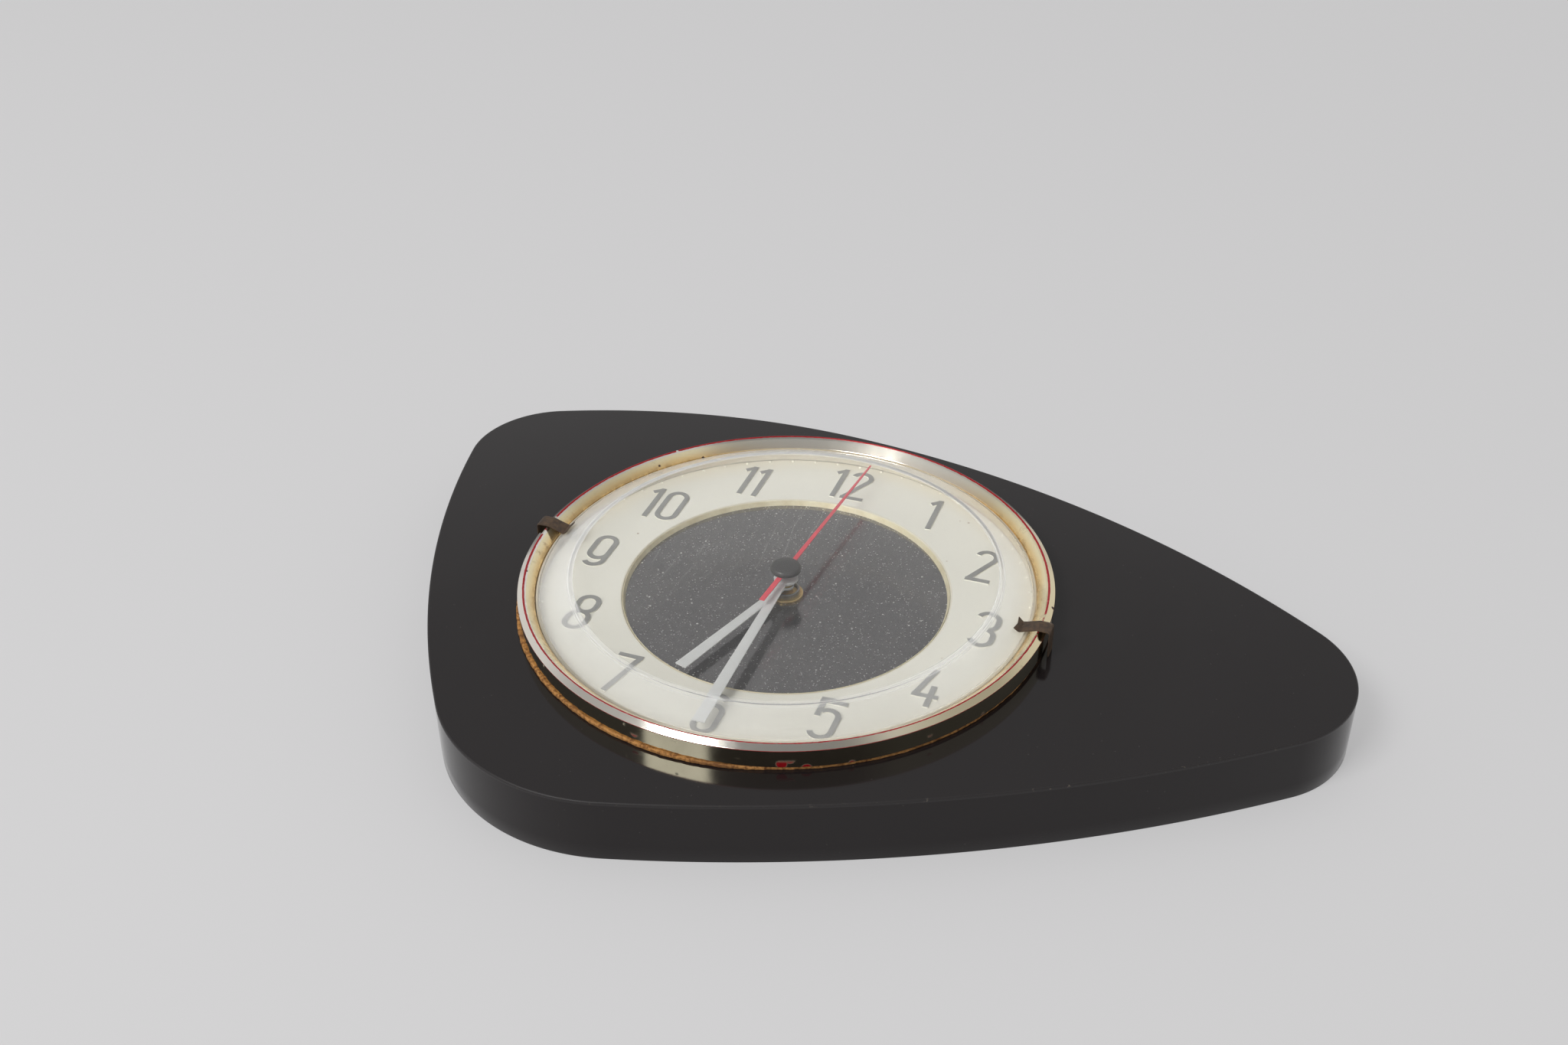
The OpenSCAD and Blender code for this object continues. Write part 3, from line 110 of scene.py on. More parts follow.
def board_outline():
    """The board's edge as seven arcs that touch each other: three corners and four long arcs between
    them. It gives for each point its arc's centre, its arc's radius and the unit vector from that
    centre. A point inset by i is centre + (radius - i) * vector."""
    steps = 64
    tip, shoulder, foot = np.array([134, 6.5]), np.array([-100.5, 49.5]), np.array([-29, -49])
    tip_r, shoulder_r, foot_r = 32, 29.5, 55.5
    top_right_r, top_left_r, left_r, low_r = 315, 220, 325, 470
    crown_dir = 85
    shift = (top_right_r - top_left_r) * directions(crown_dir)
    right_c = meeting(tip, shoulder - shift, top_right_r - tip_r, top_left_r - shoulder_r)
    left_c = right_c + shift
    side_c = meeting(shoulder, foot, left_r - shoulder_r, left_r - foot_r)
    low_c = meeting(foot, tip, low_r - foot_r, low_r - tip_r)
    arcs = [
        (tip, tip_r, bearing(low_c, tip)),
        (right_c, top_right_r, bearing(right_c, tip)),
        (left_c, top_left_r, crown_dir),
        (shoulder, shoulder_r, bearing(left_c, shoulder)),
        (side_c, left_r, bearing(side_c, shoulder)),
        (foot, foot_r, bearing(side_c, foot)),
        (low_c, low_r, bearing(low_c, foot))]
    centres, radii, angles = [], [], []
    for (centre, radius, start), (_, _, end) in zip(arcs, arcs[1:] + arcs[:1]):
        span = (end - start + 540) % 360 - 180
        centres.append(np.repeat([centre], steps, 0))
        radii.append(np.full(steps, float(radius)))
        angles.append(start + span * np.arange(steps) / steps)
    return np.concatenate(centres), np.concatenate(radii), directions(np.concatenate(angles))


def rounded(points, radii, steps=5):
    """A closed (r, z) profile whose corners are cut by arcs. Each arc touches both edges of its corner
    at radius / tan(half the corner's angle), and its centre lies on the corner's bisector. A point on
    the edge close beside each arc keeps the shading of the straight part flat."""
    nearly_straight, farthest_beside = 1.55, 0.06
    points, radii = np.asarray(points, float), np.asarray(radii, float)
    back, on = np.roll(points, 1, 0) - points, np.roll(points, -1, 0) - points
    edge = np.hypot(*on.T)
    back, on = back / np.hypot(*back.T)[:, None], on / edge[:, None]
    half = np.arccos(np.clip((back * on).sum(1), -1, 1)) / 2
    cut = np.where(half > nearly_straight, 0, radii / np.tan(half))
    beside = np.clip((edge - cut - np.roll(cut, -1)) / 3, 0, farthest_beside)
    out = []
    for k, corner in enumerate(points):
        if cut[k] == 0:
            out.append(corner[None])
            continue
        start, end = corner + back[k] * cut[k], corner + on[k] * cut[k]
        bisector = (back[k] + on[k]) / np.hypot(*(back[k] + on[k]))
        centre = corner + bisector * radii[k] / math.sin(half[k])
        first = np.arctan2(*(start - centre)[::-1])
        turn = (np.arctan2(*(end - centre)[::-1]) - first + math.pi) % (2 * math.pi) - math.pi
        arc = centre + radii[k] * directions(np.degrees(first + turn * np.linspace(0, 1, steps + 1)))
        out += [(start + back[k] * beside[k - 1])[None], arc, (end + on[k] * beside[k])[None]]
    return np.concatenate(out)


def lathe(profile, turns, wobble=0):
    """A closed (r, z) profile turned about the dial's axis: x = r cos a, y = r sin a. wobble is an array
    of small lengths, one for each angle: r gets wobble * (r - least r) / (greatest r - least r)."""
    ring = directions(np.arange(turns) * 360 / turns)
    share = (profile[:, 0, None] - profile[:, 0].min()) / np.ptp(profile[:, 0])
    r = profile[:, 0, None] + share * wobble * np.ones(turns)
    z = np.repeat(profile[:, 1, None], turns, 1)
    return np.stack([r * ring[:, 0], r * ring[:, 1], z], -1)


def section(half_w, low_z, high_z, crown):
    """The closed cross-section of a strip as (across, height): a flat underside, upright sides with a
    rounded upper edge, and a top that rises by crown * (1 - u * u) in its middle."""
    edge = 0.12
    u = np.linspace(-1, 1, 12)
    top = np.stack([u * (half_w - edge), high_z - edge / 3 + crown * (1 - u * u)], -1)
    right_side = np.array([[half_w - edge / 4, high_z - edge / 2], [half_w, high_z - edge], [half_w, low_z]])
    left_side = right_side[::-1] * [-1, 1]
    return np.concatenate([top, right_side, left_side])


def strip(rows, degrees):
    """Cross-sections along the x axis as a closed strip, turned about the dial's axis. Each end gets its
    section again, drawn together to its middle, which closes the end. Turned by t, a point has
    x cos t - y sin t for its x and x sin t + y cos t for its y."""
    first, last = (np.broadcast_to(rows[end].mean(0), rows[end].shape)[None] for end in (0, -1))
    rows = np.concatenate([first, rows, last])
    x, y, z = np.moveaxis(rows, -1, 0)
    cosine, sine = directions(degrees)
    return np.stack([x * cosine - y * sine, x * sine + y * cosine, z], -1)


def blade(stations, half_widths, low_z, high_z, crown, angle):
    """A strip along a clock angle, with one cross-section at each station along its length."""
    across = np.stack([section(width, low_z, high_z, crown) for width in half_widths])
    along = np.repeat(stations[:, None], across.shape[1], 1)
    return strip(np.stack([along, across[..., 0], across[..., 1]], -1), 90 - angle)


def quads(grid):
    """Faces of a grid of points: row i, place k joins row i + 1, place k + 1, round in both directions.
    Points that coincide are made one, and a face that loses a corner by it becomes a triangle. It
    gives the points, the faces with four corners, the triangles, and where each point was first."""
    index = np.arange(grid.shape[0] * grid.shape[1]).reshape(grid.shape[:2])
    below = np.roll(index, -1, 0)
    faces = np.stack([index, np.roll(index, -1, 1), np.roll(below, -1, 1), below], -1).reshape(-1, 4)
    places, first, same = np.unique(
        np.round(grid.reshape(-1, 3), 5), axis=0, return_index=True, return_inverse=True)
    faces = same.reshape(-1)[faces]
    whole = np.ones(len(faces), bool)
    corners = []
    for k in range(4):
        twin = faces[:, k] == faces[:, (k + 1) % 4]
        whole &= ~twin
        corners.append(np.delete(faces[twin], k, 1))
    triangles = np.concatenate(corners)
    good = (triangles != np.roll(triangles, 1, 1)).all(1)
    return places, faces[whole], triangles[good], first


def placed(name, data):
    """A new object of the scene, at the origin."""
    made = bpy.data.objects.new(name, data)
    bpy.context.scene.collection.objects.link(made)
    return made


def piece(name, grids, body, replaced, slot, sharp=32, material=None, **marks):
    """Makes one mesh from grids of points in mm and sets it on its body. It has its slot's own finish
    unless a material is given, and edges that turn by more than sharp degrees are hard. marks are
    values for each point, kept as attributes. The faces are turned outwards where the volume, the sum
    of a . (b x c) / 6 over the triangles, comes out negative."""
    points, fours, threes, kept = [], [], [], []
    start = 0
    for grid in grids:
        places, four, three, first = quads(grid)
        solid = np.concatenate([four[:, [0, 1, 2]], four[:, [0, 2, 3]], three])
        a, b, c = (places[solid[:, k]] for k in range(3))
        if np.einsum("ij,ij->i", a, np.cross(b, c)).sum() < 0:
            four, three = four[:, ::-1], three[:, ::-1]
        points.append(places)
        fours += (four + start).tolist()
        threes += (three + start).tolist()
        kept.append(first)
        start += len(places)
    mesh = bpy.data.meshes.new(name)
    mesh.from_pydata(((np.concatenate(points) + AXIS) * MM).tolist(), [], fours + threes)
    mesh.polygons.foreach_set("use_smooth", np.ones(len(mesh.polygons), bool))
    for mark, values in marks.items():
        data = np.concatenate([np.asarray(v, float).reshape(-1)[f] for v, f in zip(values, kept)])
        mesh.attributes.new(mark, "FLOAT", "POINT").data.foreach_set("value", data)
    mesh.update()
    mesh.set_sharp_from_angle(angle=math.radians(sharp))
    mesh.materials.append(material or finishes[slot])
    made = placed(name, mesh)
    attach(made, body)
    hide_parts(*replaced)


# Finishes

class Flow:
    """A shader socket that takes part in sums: each operator adds a Math node."""

    def __init__(self, graph, socket):
        self.graph = graph
        self.socket = socket

    def maths(self, operation, *others):
        """The operation with this value first and the others after it."""
        return self.graph.node("ShaderNodeMath", {"operation": operation}, dict(enumerate((self, *others))))

    def __add__(self, other):
        return self.maths("ADD", other)

    def __mul__(self, other):
        return self.maths("MULTIPLY", other)

    def __sub__(self, other):
        return self.maths("SUBTRACT", other)

    def __rsub__(self, other):
        """other - self, as self * -1 + other."""
        return self.maths("MULTIPLY_ADD", -1, other)

    def __abs__(self):
        return self.maths("ABSOLUTE")

    __radd__ = __add__
    __rmul__ = __mul__


class Graph:
    """A node tree with one method that adds a node."""

    def __init__(self, tree):
        self.tree = tree

    def node(self, kind, settings, inputs, out=0):
        """Adds a node, sets its settings and its sockets' values or links, and gives one output."""
        made = self.tree.nodes.new(kind)
        for key, value in settings.items():
            if key == "stops":
                ramp = made.color_ramp
                while len(ramp.elements) < len(value):
                    ramp.elements.new(0.5)
                for stop, (at, colour) in zip(ramp.elements, value):
                    stop.position = at
                    stop.color = (*colour, 1)
            else:
                setattr(made, key, value)
        for key, value in inputs.items():
            self.feed(made.inputs[key], value)
        return Flow(self, made.outputs[out])

    def feed(self, socket, value):
        """Links a Flow to a socket, or sets the socket's value, a colour without its alpha."""
        if isinstance(value, Flow):
            self.tree.links.new(value.socket, socket)
        elif socket.type == "RGBA":
            socket.default_value = (*value, 1)
        else:
            socket.default_value = value

    def ease(self, value, start, end):
        """0 before start, 1 after end, and a smooth step between; start may lie after end."""
        return self.node("ShaderNodeMapRange", {"interpolation_type": "SMOOTHSTEP"},
                         {"Value": value, "From Min": start, "From Max": end})


class Paint(Graph):
    """A material whose places are in mm from the dial's axis, with its main shader in main."""

    def __init__(self, name, **sockets):
        self.material = bpy.data.materials.new(name)
        self.material.use_nodes = True
        super().__init__(self.material.node_tree)
        self.bsdf = self.tree.nodes["Principled BSDF"]
        self.main = Flow(self, self.bsdf.outputs[0])
        self.put(**sockets)
        place = self.node("ShaderNodeTexCoord", {}, {}, "Object")
        self.place = self.node("ShaderNodeMapping", {}, {
            "Vector": place, "Location": tuple(-AXIS), "Scale": (1 / MM,) * 3})

    def put(self, **sockets):
        """Sets or links sockets of the main shader; _ in a name stands for a space."""
        for key, value in sockets.items():
            self.feed(self.bsdf.inputs[key.replace("_", " ")], value)

    def axes(self):
        """x, y and z in mm."""
        split = self.node("ShaderNodeSeparateXYZ", {}, {"Vector": self.place})
        return [Flow(self, s) for s in split.socket.node.outputs]

    def radius(self):
        """The distance from the dial's axis in mm, sqrt(x * x + y * y)."""
        x, y, _ = self.axes()
        return (x * x + y * y).maths("SQRT")

    def noise(self, size, detail=3.0, rough=0.55, stretch=(1, 1, 1), seed=0.0):
        """Cloudy noise from 0 to 1 whose cells are about size mm across. The seed moves it aside."""
        where = self.node("ShaderNodeVectorMath", {"operation": "MULTIPLY_ADD"},
                          {0: self.place, 1: stretch, 2: (seed, seed * 1.7, seed * 0.6)})
        return self.node("ShaderNodeTexNoise", {}, {
            "Vector": where, "Scale": 1 / size, "Detail": detail, "Roughness": rough})

    def spots(self, size, seed):
        """Distance to the nearest of scattered points, in cells of about size mm."""
        where = self.node("ShaderNodeVectorMath", {"operation": "ADD"}, {0: self.place, 1: (seed,) * 3})
        return self.node("ShaderNodeTexVoronoi", {}, {"Vector": where, "Scale": 1 / size}, "Distance")

    def band(self, value, start, end, soft):
        """1 between start and end, with soft edges."""
        return self.ease(value, start - soft, start + soft) * self.ease(value, end + soft, end - soft)

    def mix(self, mask, a, b):
        """Colour a where mask is 0 and colour b where it is 1. The Mix node's sockets 6 and 7 and its
        output 2 are those for colours."""
        return self.node("ShaderNodeMix", {"data_type": "RGBA"}, {0: mask, 6: a, 7: b}, 2)

    def dents(self, height, depth):
        """Bends the shading by a height from 0 to 1 that stands for depth mm."""
        bump = self.node("ShaderNodeBump", {}, {"Height": height, "Distance": depth * MM, "Strength": 1.0})
        self.put(Normal=bump)

    def blend(self, mask, a, b):
        """Shader a where mask is 0 and shader b where it is 1."""
        return self.node("ShaderNodeMixShader", {}, {0: mask, 1: a, 2: b})

    def show(self, shader):
        """Makes a shader the material's surface."""
        self.tree.links.new(shader.socket, self.tree.nodes["Material Output"].inputs["Surface"])


def laminate(name, chips):
    """Polished black laminate with smears and dust. With chips set it also has a duller arris and pale
    chips, stronger on the right, placed by the rim mark, the distance from the edge in mm."""
    p = Paint(name, Specular_IOR_Level=0.46 if chips else 0.3)
    smear = p.noise(38, 4, 0.62, stretch=(1, 0.55, 1), seed=3.0)
    fine = p.noise(2.2, 2, 0.5, seed=8.0)
    dust = p.ease(p.spots(2.6, 5.0), 0.11, 0.04) * p.ease(p.noise(9, 2, 0.5, seed=21.0), 0.5, 0.62)
    tone = p.mix(smear, (0.0135, 0.0108, 0.0111), (0.0165, 0.0135, 0.0138))
    tone = p.mix(dust * 0.22, tone, (0.13, 0.12, 0.115))
    rough = 0.07 + 0.05 * p.ease(smear, 0.38, 0.78) + 0.02 * fine
    if chips:
        rim = p.node("ShaderNodeAttribute", {"attribute_name": "rim"}, {}, "Fac")
        x, _, _ = p.axes()
        worn = p.ease(p.noise(2.6, 4, 0.7, seed=2.0), 0.60, 0.70) * p.band(rim, -0.1, 0.4, 0.18)
        to_the_right = p.ease(x, 20, 90) * 0.5 + 0.15
        tone = p.mix(worn * to_the_right, tone, (0.26, 0.22, 0.17))
        rough = rough + worn * 0.3 + 0.4 * p.band(rim, 0.02, 0.46, 0.03)
    p.put(Base_Color=tone, Roughness=rough)
    p.dents(p.noise(60, 2, 0.4, seed=4.0), 0.03)
    return p.material


def bezel_gilt():
    """Gilt brass: yellow on the inner slope, deeper and browner towards its foot, and nearly white at its
    far side, pale on the outer bevel and yellower on its right, duller on the skirt. Except at its far side,
    the slope has stains and darker, duller patches towards its foot. A red line is painted on the crest and
    a hair line under the bevel, and there are dark specks and red drops of paint."""
    p = Paint("gilt")
    r = p.radius()
    x, y, z = p.axes()
    cloud = p.noise(16, 4, 0.6, seed=1.0)
    grime = p.noise(3.4, 4, 0.65, seed=6.0)
    slope = p.ease(r, CREST_R - 0.7, CREST_R - 0.9)
    skirt = p.ease(z, SKIRT_Z + 0.02, SKIRT_Z - 0.1) * p.ease(r, SKIRT_R - 0.9, SKIRT_R - 0.7)
    # Deeper and browner towards the slope's foot.
    inside = p.mix(p.ease(z + cloud * 1.2, 27.9, 25.9), (0.93, 0.82, 0.54), (0.86, 0.61, 0.28))
    inside = p.mix(p.ease(y, 52, 74) * 0.8, inside, (0.93, 0.91, 0.86))
    bevel = p.mix(p.ease(x, 25, 75), (0.88, 0.83, 0.75), (0.84, 0.73, 0.48))
    tone = p.mix(slope, bevel, inside)
    slope_short_of_far_side = slope * p.ease(y, 62, 40)
    stain = slope_short_of_far_side * p.ease(grime, 0.5, 0.72) * p.ease(cloud, 0.42, 0.62)
    tone = p.mix(stain * 0.55, tone, (0.30, 0.17, 0.06))
    # Darker, duller patches towards the slope's foot, where it meets the crystal.
    foot = slope_short_of_far_side * p.ease(z, 26.1, 25.3) * p.ease(grime, 0.35, 0.6)
    tone = p.mix(foot * 0.45, tone, (0.20, 0.12, 0.05))
    speck = p.ease(p.spots(5.5, 9.0), 0.13, 0.08) * p.ease(cloud, 0.5, 0.58)
    tone = p.mix(speck, tone, (0.05, 0.02, 0.01))
    tone = p.mix(skirt, tone, p.mix(cloud, (0.60, 0.55, 0.38), (0.78, 0.72, 0.54)))
    edge = p.noise(1.6, 3, 0.6, seed=12.0) * 0.28
    beside_clip = p.ease(abs(y + 1.2), 5.6, 4.8) * p.ease(p.noise(1.5, 2, seed=27.0), 0.42, 0.5)
    wear = beside_clip.maths("MAXIMUM", p.ease(p.noise(7, 3, 0.7, seed=17.0), 0.67, 0.7))
    line = p.band(r + edge, CREST_R - 0.25, CREST_R + 0.38, 0.05) * p.ease(z, 27.2, 27.5) * (1 - wear)
    low_line = p.band(z + edge * 0.25, SKIRT_Z - 0.12, SKIRT_Z + 0.04, 0.03)
    low_line = low_line * p.ease(r, SKIRT_R - 0.5, SKIRT_R - 0.3)
    drops = skirt * p.ease(p.spots(9, 31.0), 0.2, 0.14) * p.ease(z, 24.0, 22.6)
    red = line.maths("MAXIMUM", low_line).maths("MAXIMUM", drops)
    tone = p.mix(red, tone, (0.40, 0.008, 0.014))
    dull = (stain * 0.5).maths("MAXIMUM", foot * 0.4).maths("MAXIMUM", speck)
    shine_lost = (red * 0.6).maths("MAXIMUM", dull * 0.8 + slope * 0.15)
    p.put(Base_Color=tone, Metallic=1 - shine_lost, Roughness=0.06 + 0.10 * grime + 0.3 * dull + 0.16 * red)
    p.dents(p.noise(24, 2, 0.5, seed=14.0), 0.06)
    return p.material


def cork():
    """Pressed orange-brown cork with dark grains."""
    p = Paint("cork", Specular_IOR_Level=0.25)
    grain = p.noise(1.1, 5, 0.75, seed=2.0)
    lump = p.spots(1.5, 3.0)
    tone = p.mix(p.ease(grain, 0.34, 0.62), (0.17, 0.065, 0.022), (0.62, 0.31, 0.10))
    tone = p.mix(p.ease(p.noise(12, 2, seed=8.0), 0.5, 0.7) * 0.6, tone, (0.16, 0.07, 0.03))
    p.put(Base_Color=tone, Roughness=0.75 + 0.2 * grain)
    p.dents(grain - lump * 0.5, 0.5)
    return p.material


def clear_acrylic():
    """Clear moulded acrylic whose sloping wall and shoulder have gone milky, most on the left, and whose rim
    has yellowed. Two thin bright rings on the shoulder are painted highlights, and the milky part is halved
    towards six as painted shade on the near wall that faces the lamp. Shadow rays pass it, so that the dial
    stays lit."""
    p = Paint("crystal", Base_Color=(0.985, 0.985, 0.975), Transmission_Weight=1.0, IOR=1.49)
    r = p.radius()
    x, y, _ = p.axes()
    left = p.ease(x, 50, -20)
    wall = p.band(r, SHOULDER_R + 0.1, RIM_R - 1.1, 0.7)
    rim = p.ease(r, RIM_R - 1.3, RIM_R - 0.4)
    # The shoulder band is haze. The two thin rings added on it are painted highlights, white in the milky
    # layer.
    shoulder = 0.4 * p.band(r, SHOULDER_R - 1.2, SHOULDER_R + 0.3, 0.2)
    for highlight_r in (SHOULDER_R - 1.15, SHOULDER_R + 0.25):
        shoulder = shoulder + 0.45 * p.band(r, highlight_r - 0.05, highlight_r + 0.05, 0.12)
    haze = p.ease(p.noise(26, 4, 0.6, seed=5.0), 0.45, 0.8)
    p.put(Roughness=0.012 + 0.03 * haze + wall * (0.05 + 0.05 * p.noise(14, 2, seed=19.0)))
    p.dents(p.noise(30, 2, 0.4, seed=7.0), 0.03)
    veil_and_highlight = wall * (0.04 + 0.16 * left + 0.08 * p.noise(20, 2, seed=11.0))
    veil_and_highlight = veil_and_highlight + shoulder * (0.62 + 0.1 * left) + rim * 0.65
    # Halved towards six: painted shade, which darkens the near wall that faces the lamp.
    veil_and_highlight = veil_and_highlight * (1 - 0.5 * p.ease(y, -25, -60))
    milky_tone = p.mix(rim, (0.93, 0.93, 0.92), (0.90, 0.84, 0.70))
    milky = p.node("ShaderNodeBsdfDiffuse", {}, {"Color": milky_tone})
    shadow = p.node("ShaderNodeLightPath", {}, {}, "Is Shadow Ray")
    open_way = p.node("ShaderNodeBsdfTransparent", {}, {"Color": (0.93, 0.93, 0.92)})
    p.show(p.blend(shadow, p.blend(veil_and_highlight, p.main, milky), open_way))
    return p.material


def cream_enamel():
    """Cream enamel that has yellowed towards the rim and is darker and greyer towards six, with small brown
    stains and specks and a brown line round the sunk middle."""
    p = Paint("cream_paint", Specular_IOR_Level=0.4)
    r = p.radius()
    x, y, _ = p.axes()
    cloud = p.noise(22, 3, 0.5, seed=2.0)
    aged = p.ease(r + cloud * 9, 69, 83)
    tone = p.mix(cloud, (0.70, 0.685, 0.615), (0.73, 0.715, 0.66))
    tone = p.mix(aged * 0.5, tone, (0.70, 0.60, 0.40))
    # Darker and greyer towards six.
    tone = p.mix(p.ease(y, -15, -62) * 0.5, tone, (0.50, 0.485, 0.43))
    low_right = p.ease(x - y, 45, 95)
    stain = p.ease(p.noise(5, 4, 0.7, seed=13.0), 0.6, 0.75) * p.ease(r, 66, 74) * (0.25 + low_right * 0.7)
    tone = p.mix(stain * 0.6, tone, (0.36, 0.20, 0.07))
    speck = p.ease(p.spots(6.5, 3.0), 0.075, 0.045) * p.ease(p.noise(14, 2, seed=33.0), 0.5, 0.6)
    tone = p.mix(speck * 0.7, tone, (0.25, 0.16, 0.08))
    line = p.band(r, PAN_R - 0.2, PAN_R + 0.55, 0.15)
    tone = p.mix(line * 0.35, tone, (0.50, 0.42, 0.26))
    p.put(Base_Color=tone, Roughness=0.34 + 0.15 * cloud)
    p.dents(p.noise(1.2, 2, 0.5, seed=4.0), 0.01)
    return p.material


def raised_figures():
    """Raised figures: satin grey on top, with the dial's cream on their upright sides."""
    p = Paint("grey_paint", Specular_IOR_Level=0.5)
    _, _, z = p.axes()
    worn = p.noise(0.8, 4, 0.7, seed=4.0)
    cloud = p.noise(5, 3, 0.6, seed=9.0)
    top = p.ease(z + worn * 0.03, DIAL_Z + 0.3, DIAL_Z + 0.35)
    tone = p.mix(cloud, (0.22, 0.22, 0.215), (0.34, 0.34, 0.33))
    tone = p.mix(p.ease(worn, 0.62, 0.72) * 0.5, tone, (0.5, 0.47, 0.40))
    tone = p.mix(top, (0.80, 0.78, 0.70), tone)
    p.put(Base_Color=tone, Roughness=0.42 - 0.1 * worn, Metallic=top * 0.25)
    p.dents(worn, 0.04)
    return p.material


def dot_gilt():
    """Pale gold and cream in clouds, for the dots."""
    p = Paint("dots", Metallic=0.1)
    worn = p.noise(3, 3, 0.6, seed=6.0)
    p.put(Base_Color=p.mix(worn, (0.84, 0.79, 0.64), (0.90, 0.88, 0.80)), Roughness=0.25 + 0.2 * worn)
    return p.material


def dark_lining():
    """Dark glossy disc with pale sparkle, dust and hair scratches."""
    p = Paint("dark_lining", Specular_IOR_Level=0.5, Metallic=0.95)
    x, y, _ = p.axes()
    cloud = p.noise(18, 4, 0.6, seed=3.0)
    tone = p.mix(cloud, (0.235, 0.228, 0.233), (0.275, 0.268, 0.273))
    sparkle = p.ease(p.spots(0.9, 2.0), 0.34, 0.12) * p.ease(p.noise(1.3, 2, seed=3.0), 0.34, 0.64)
    tone = p.mix(sparkle * 0.75, tone, (0.80, 0.79, 0.80))
    dust = p.ease(p.spots(4.0, 12.0), 0.10, 0.05) * p.ease(p.noise(7, 2, seed=5.0), 0.36, 0.56)
    tone = p.mix(dust, tone, (0.95, 0.94, 0.93))
    line = p.node("ShaderNodeTexWave", {"wave_type": "BANDS"}, {
        "Vector": p.place, "Scale": 0.05, "Distortion": 9.0, "Detail": 3.0, "Detail Scale": 0.25}, "Fac")
    scratch = p.ease(line, 0.985, 1.0) * p.ease(p.noise(15, 2, seed=7.0), 0.45, 0.58) * p.ease(y - x, 0, 40)
    tone = p.mix(scratch * 0.6, tone, (0.55, 0.55, 0.55))
    p.put(Base_Color=tone, Roughness=0.14 + 0.04 * p.ease(cloud, 0.35, 0.75) + 0.4 * dust + 0.3 * sparkle)
    p.dents(p.noise(0.6, 2, 0.6, seed=1.0), 0.006)
    return p.material


def worked_metal(name, bright, dull, rough=0.28, metallic=1.0, size=6.0):
    """Turned or stamped metal: two tones in clouds of about size mm, and fine marks in the gloss."""
    p = Paint(name, Metallic=metallic)
    cloud = p.noise(size, 4, 0.6, seed=2.0)
    marks = p.noise(0.35, 2, 0.6, stretch=(1, 6, 1), seed=5.0)
    tone = p.mix(p.ease(cloud, 0.3, 0.75), bright, dull)
    p.put(Base_Color=tone, Roughness=rough + 0.14 * cloud + 0.05 * marks)
    p.dents(marks, 0.01)
    return p.material


def moulded(name, tone, second, rough=0.45, grain=0.5, depth=0.02, clouds=8.0):
    """Moulded or coated surface: two near tones in clouds of about clouds mm, and a fine texture whose
    cells are about grain mm across and depth mm deep."""
    p = Paint(name, Specular_IOR_Level=0.45)
    cloud = p.noise(clouds, 4, 0.6, seed=3.0)
    fine = p.noise(grain, 2, 0.6, seed=9.0)
    p.put(Base_Color=p.mix(cloud, tone, second), Roughness=rough + 0.12 * cloud)
    p.dents(fine, depth)
    return p.material


def browned_steel():
    """Spring steel that has browned, with rust freckles and brighter rubbed places."""
    p = Paint("rusty_steel")
    rust = p.noise(1.3, 5, 0.7, seed=3.0)
    tone = p.mix(p.ease(rust, 0.32, 0.68), (0.060, 0.044, 0.034), (0.135, 0.085, 0.052))
    rubbed = p.ease(p.noise(3, 3, 0.6, seed=8.0), 0.62, 0.75)
    tone = p.mix(rubbed * 0.5, tone, (0.3, 0.25, 0.2))
    p.put(Base_Color=tone, Metallic=0.4 + 0.4 * rubbed, Roughness=0.5 + 0.25 * rust - 0.15 * rubbed)
    p.dents(rust, 0.05)
    return p.material


def satin_hands():
    """Satin aluminium with fine brushing along the hands, which lie near the y axis."""
    p = Paint("satin_aluminium", Metallic=0.2)
    cloud = p.noise(7, 3, 0.5, seed=3.0)
    brush = p.noise(0.28, 2, 0.5, stretch=(1, 0.12, 1), seed=2.0)
    p.put(Base_Color=p.mix(cloud, (0.56, 0.565, 0.565), (0.62, 0.625, 0.625)), Roughness=0.36 + 0.1 * brush)
    p.dents(brush, 0.008)
    return p.material


def hardboard():
    """Brown hardboard with matted fibres."""
    p = Paint("hardboard", Specular_IOR_Level=0.25)
    fibre = p.noise(0.9, 5, 0.75, stretch=(1, 0.35, 1), seed=2.0)
    cloud = p.noise(30, 4, 0.6, seed=7.0)
    tone = p.mix(p.ease(fibre, 0.3, 0.7), (0.12, 0.062, 0.030), (0.23, 0.125, 0.062))
    tone = p.mix(p.ease(cloud, 0.5, 0.75) * 0.4, tone, (0.10, 0.06, 0.035))
    p.put(Base_Color=tone, Roughness=0.6 + 0.2 * fibre)
    p.dents(fibre, 0.08)
    return p.material


def chipboard():
    """Raw chipboard: pressed flakes in several pale browns."""
    p = Paint("board", Specular_IOR_Level=0.2, Roughness=0.8)
    flake = p.node("ShaderNodeTexVoronoi", {}, {"Vector": p.place, "Scale": 0.45}, "Color")
    fine = p.noise(0.8, 4, 0.7, seed=2.0)
    tone = p.mix(p.node("ShaderNodeSeparateColor", {}, {0: flake}), (0.42, 0.28, 0.15), (0.66, 0.50, 0.31))
    p.put(Base_Color=p.mix(p.ease(fine, 0.55, 0.7) * 0.5, tone, (0.2, 0.12, 0.06)))
    p.dents(fine, 0.1)
    return p.material


def wound_wire():
    """Enamelled copper wire in even layers."""
    p = Paint("copper", Metallic=0.9, Roughness=0.3)
    _, _, z = p.axes()
    layers = (z * 22.0).maths("SINE") * 0.5 + 0.5
    p.put(Base_Color=p.mix(layers, (0.30, 0.09, 0.03), (0.62, 0.24, 0.10)))
    p.dents(layers, 0.06)
    return p.material


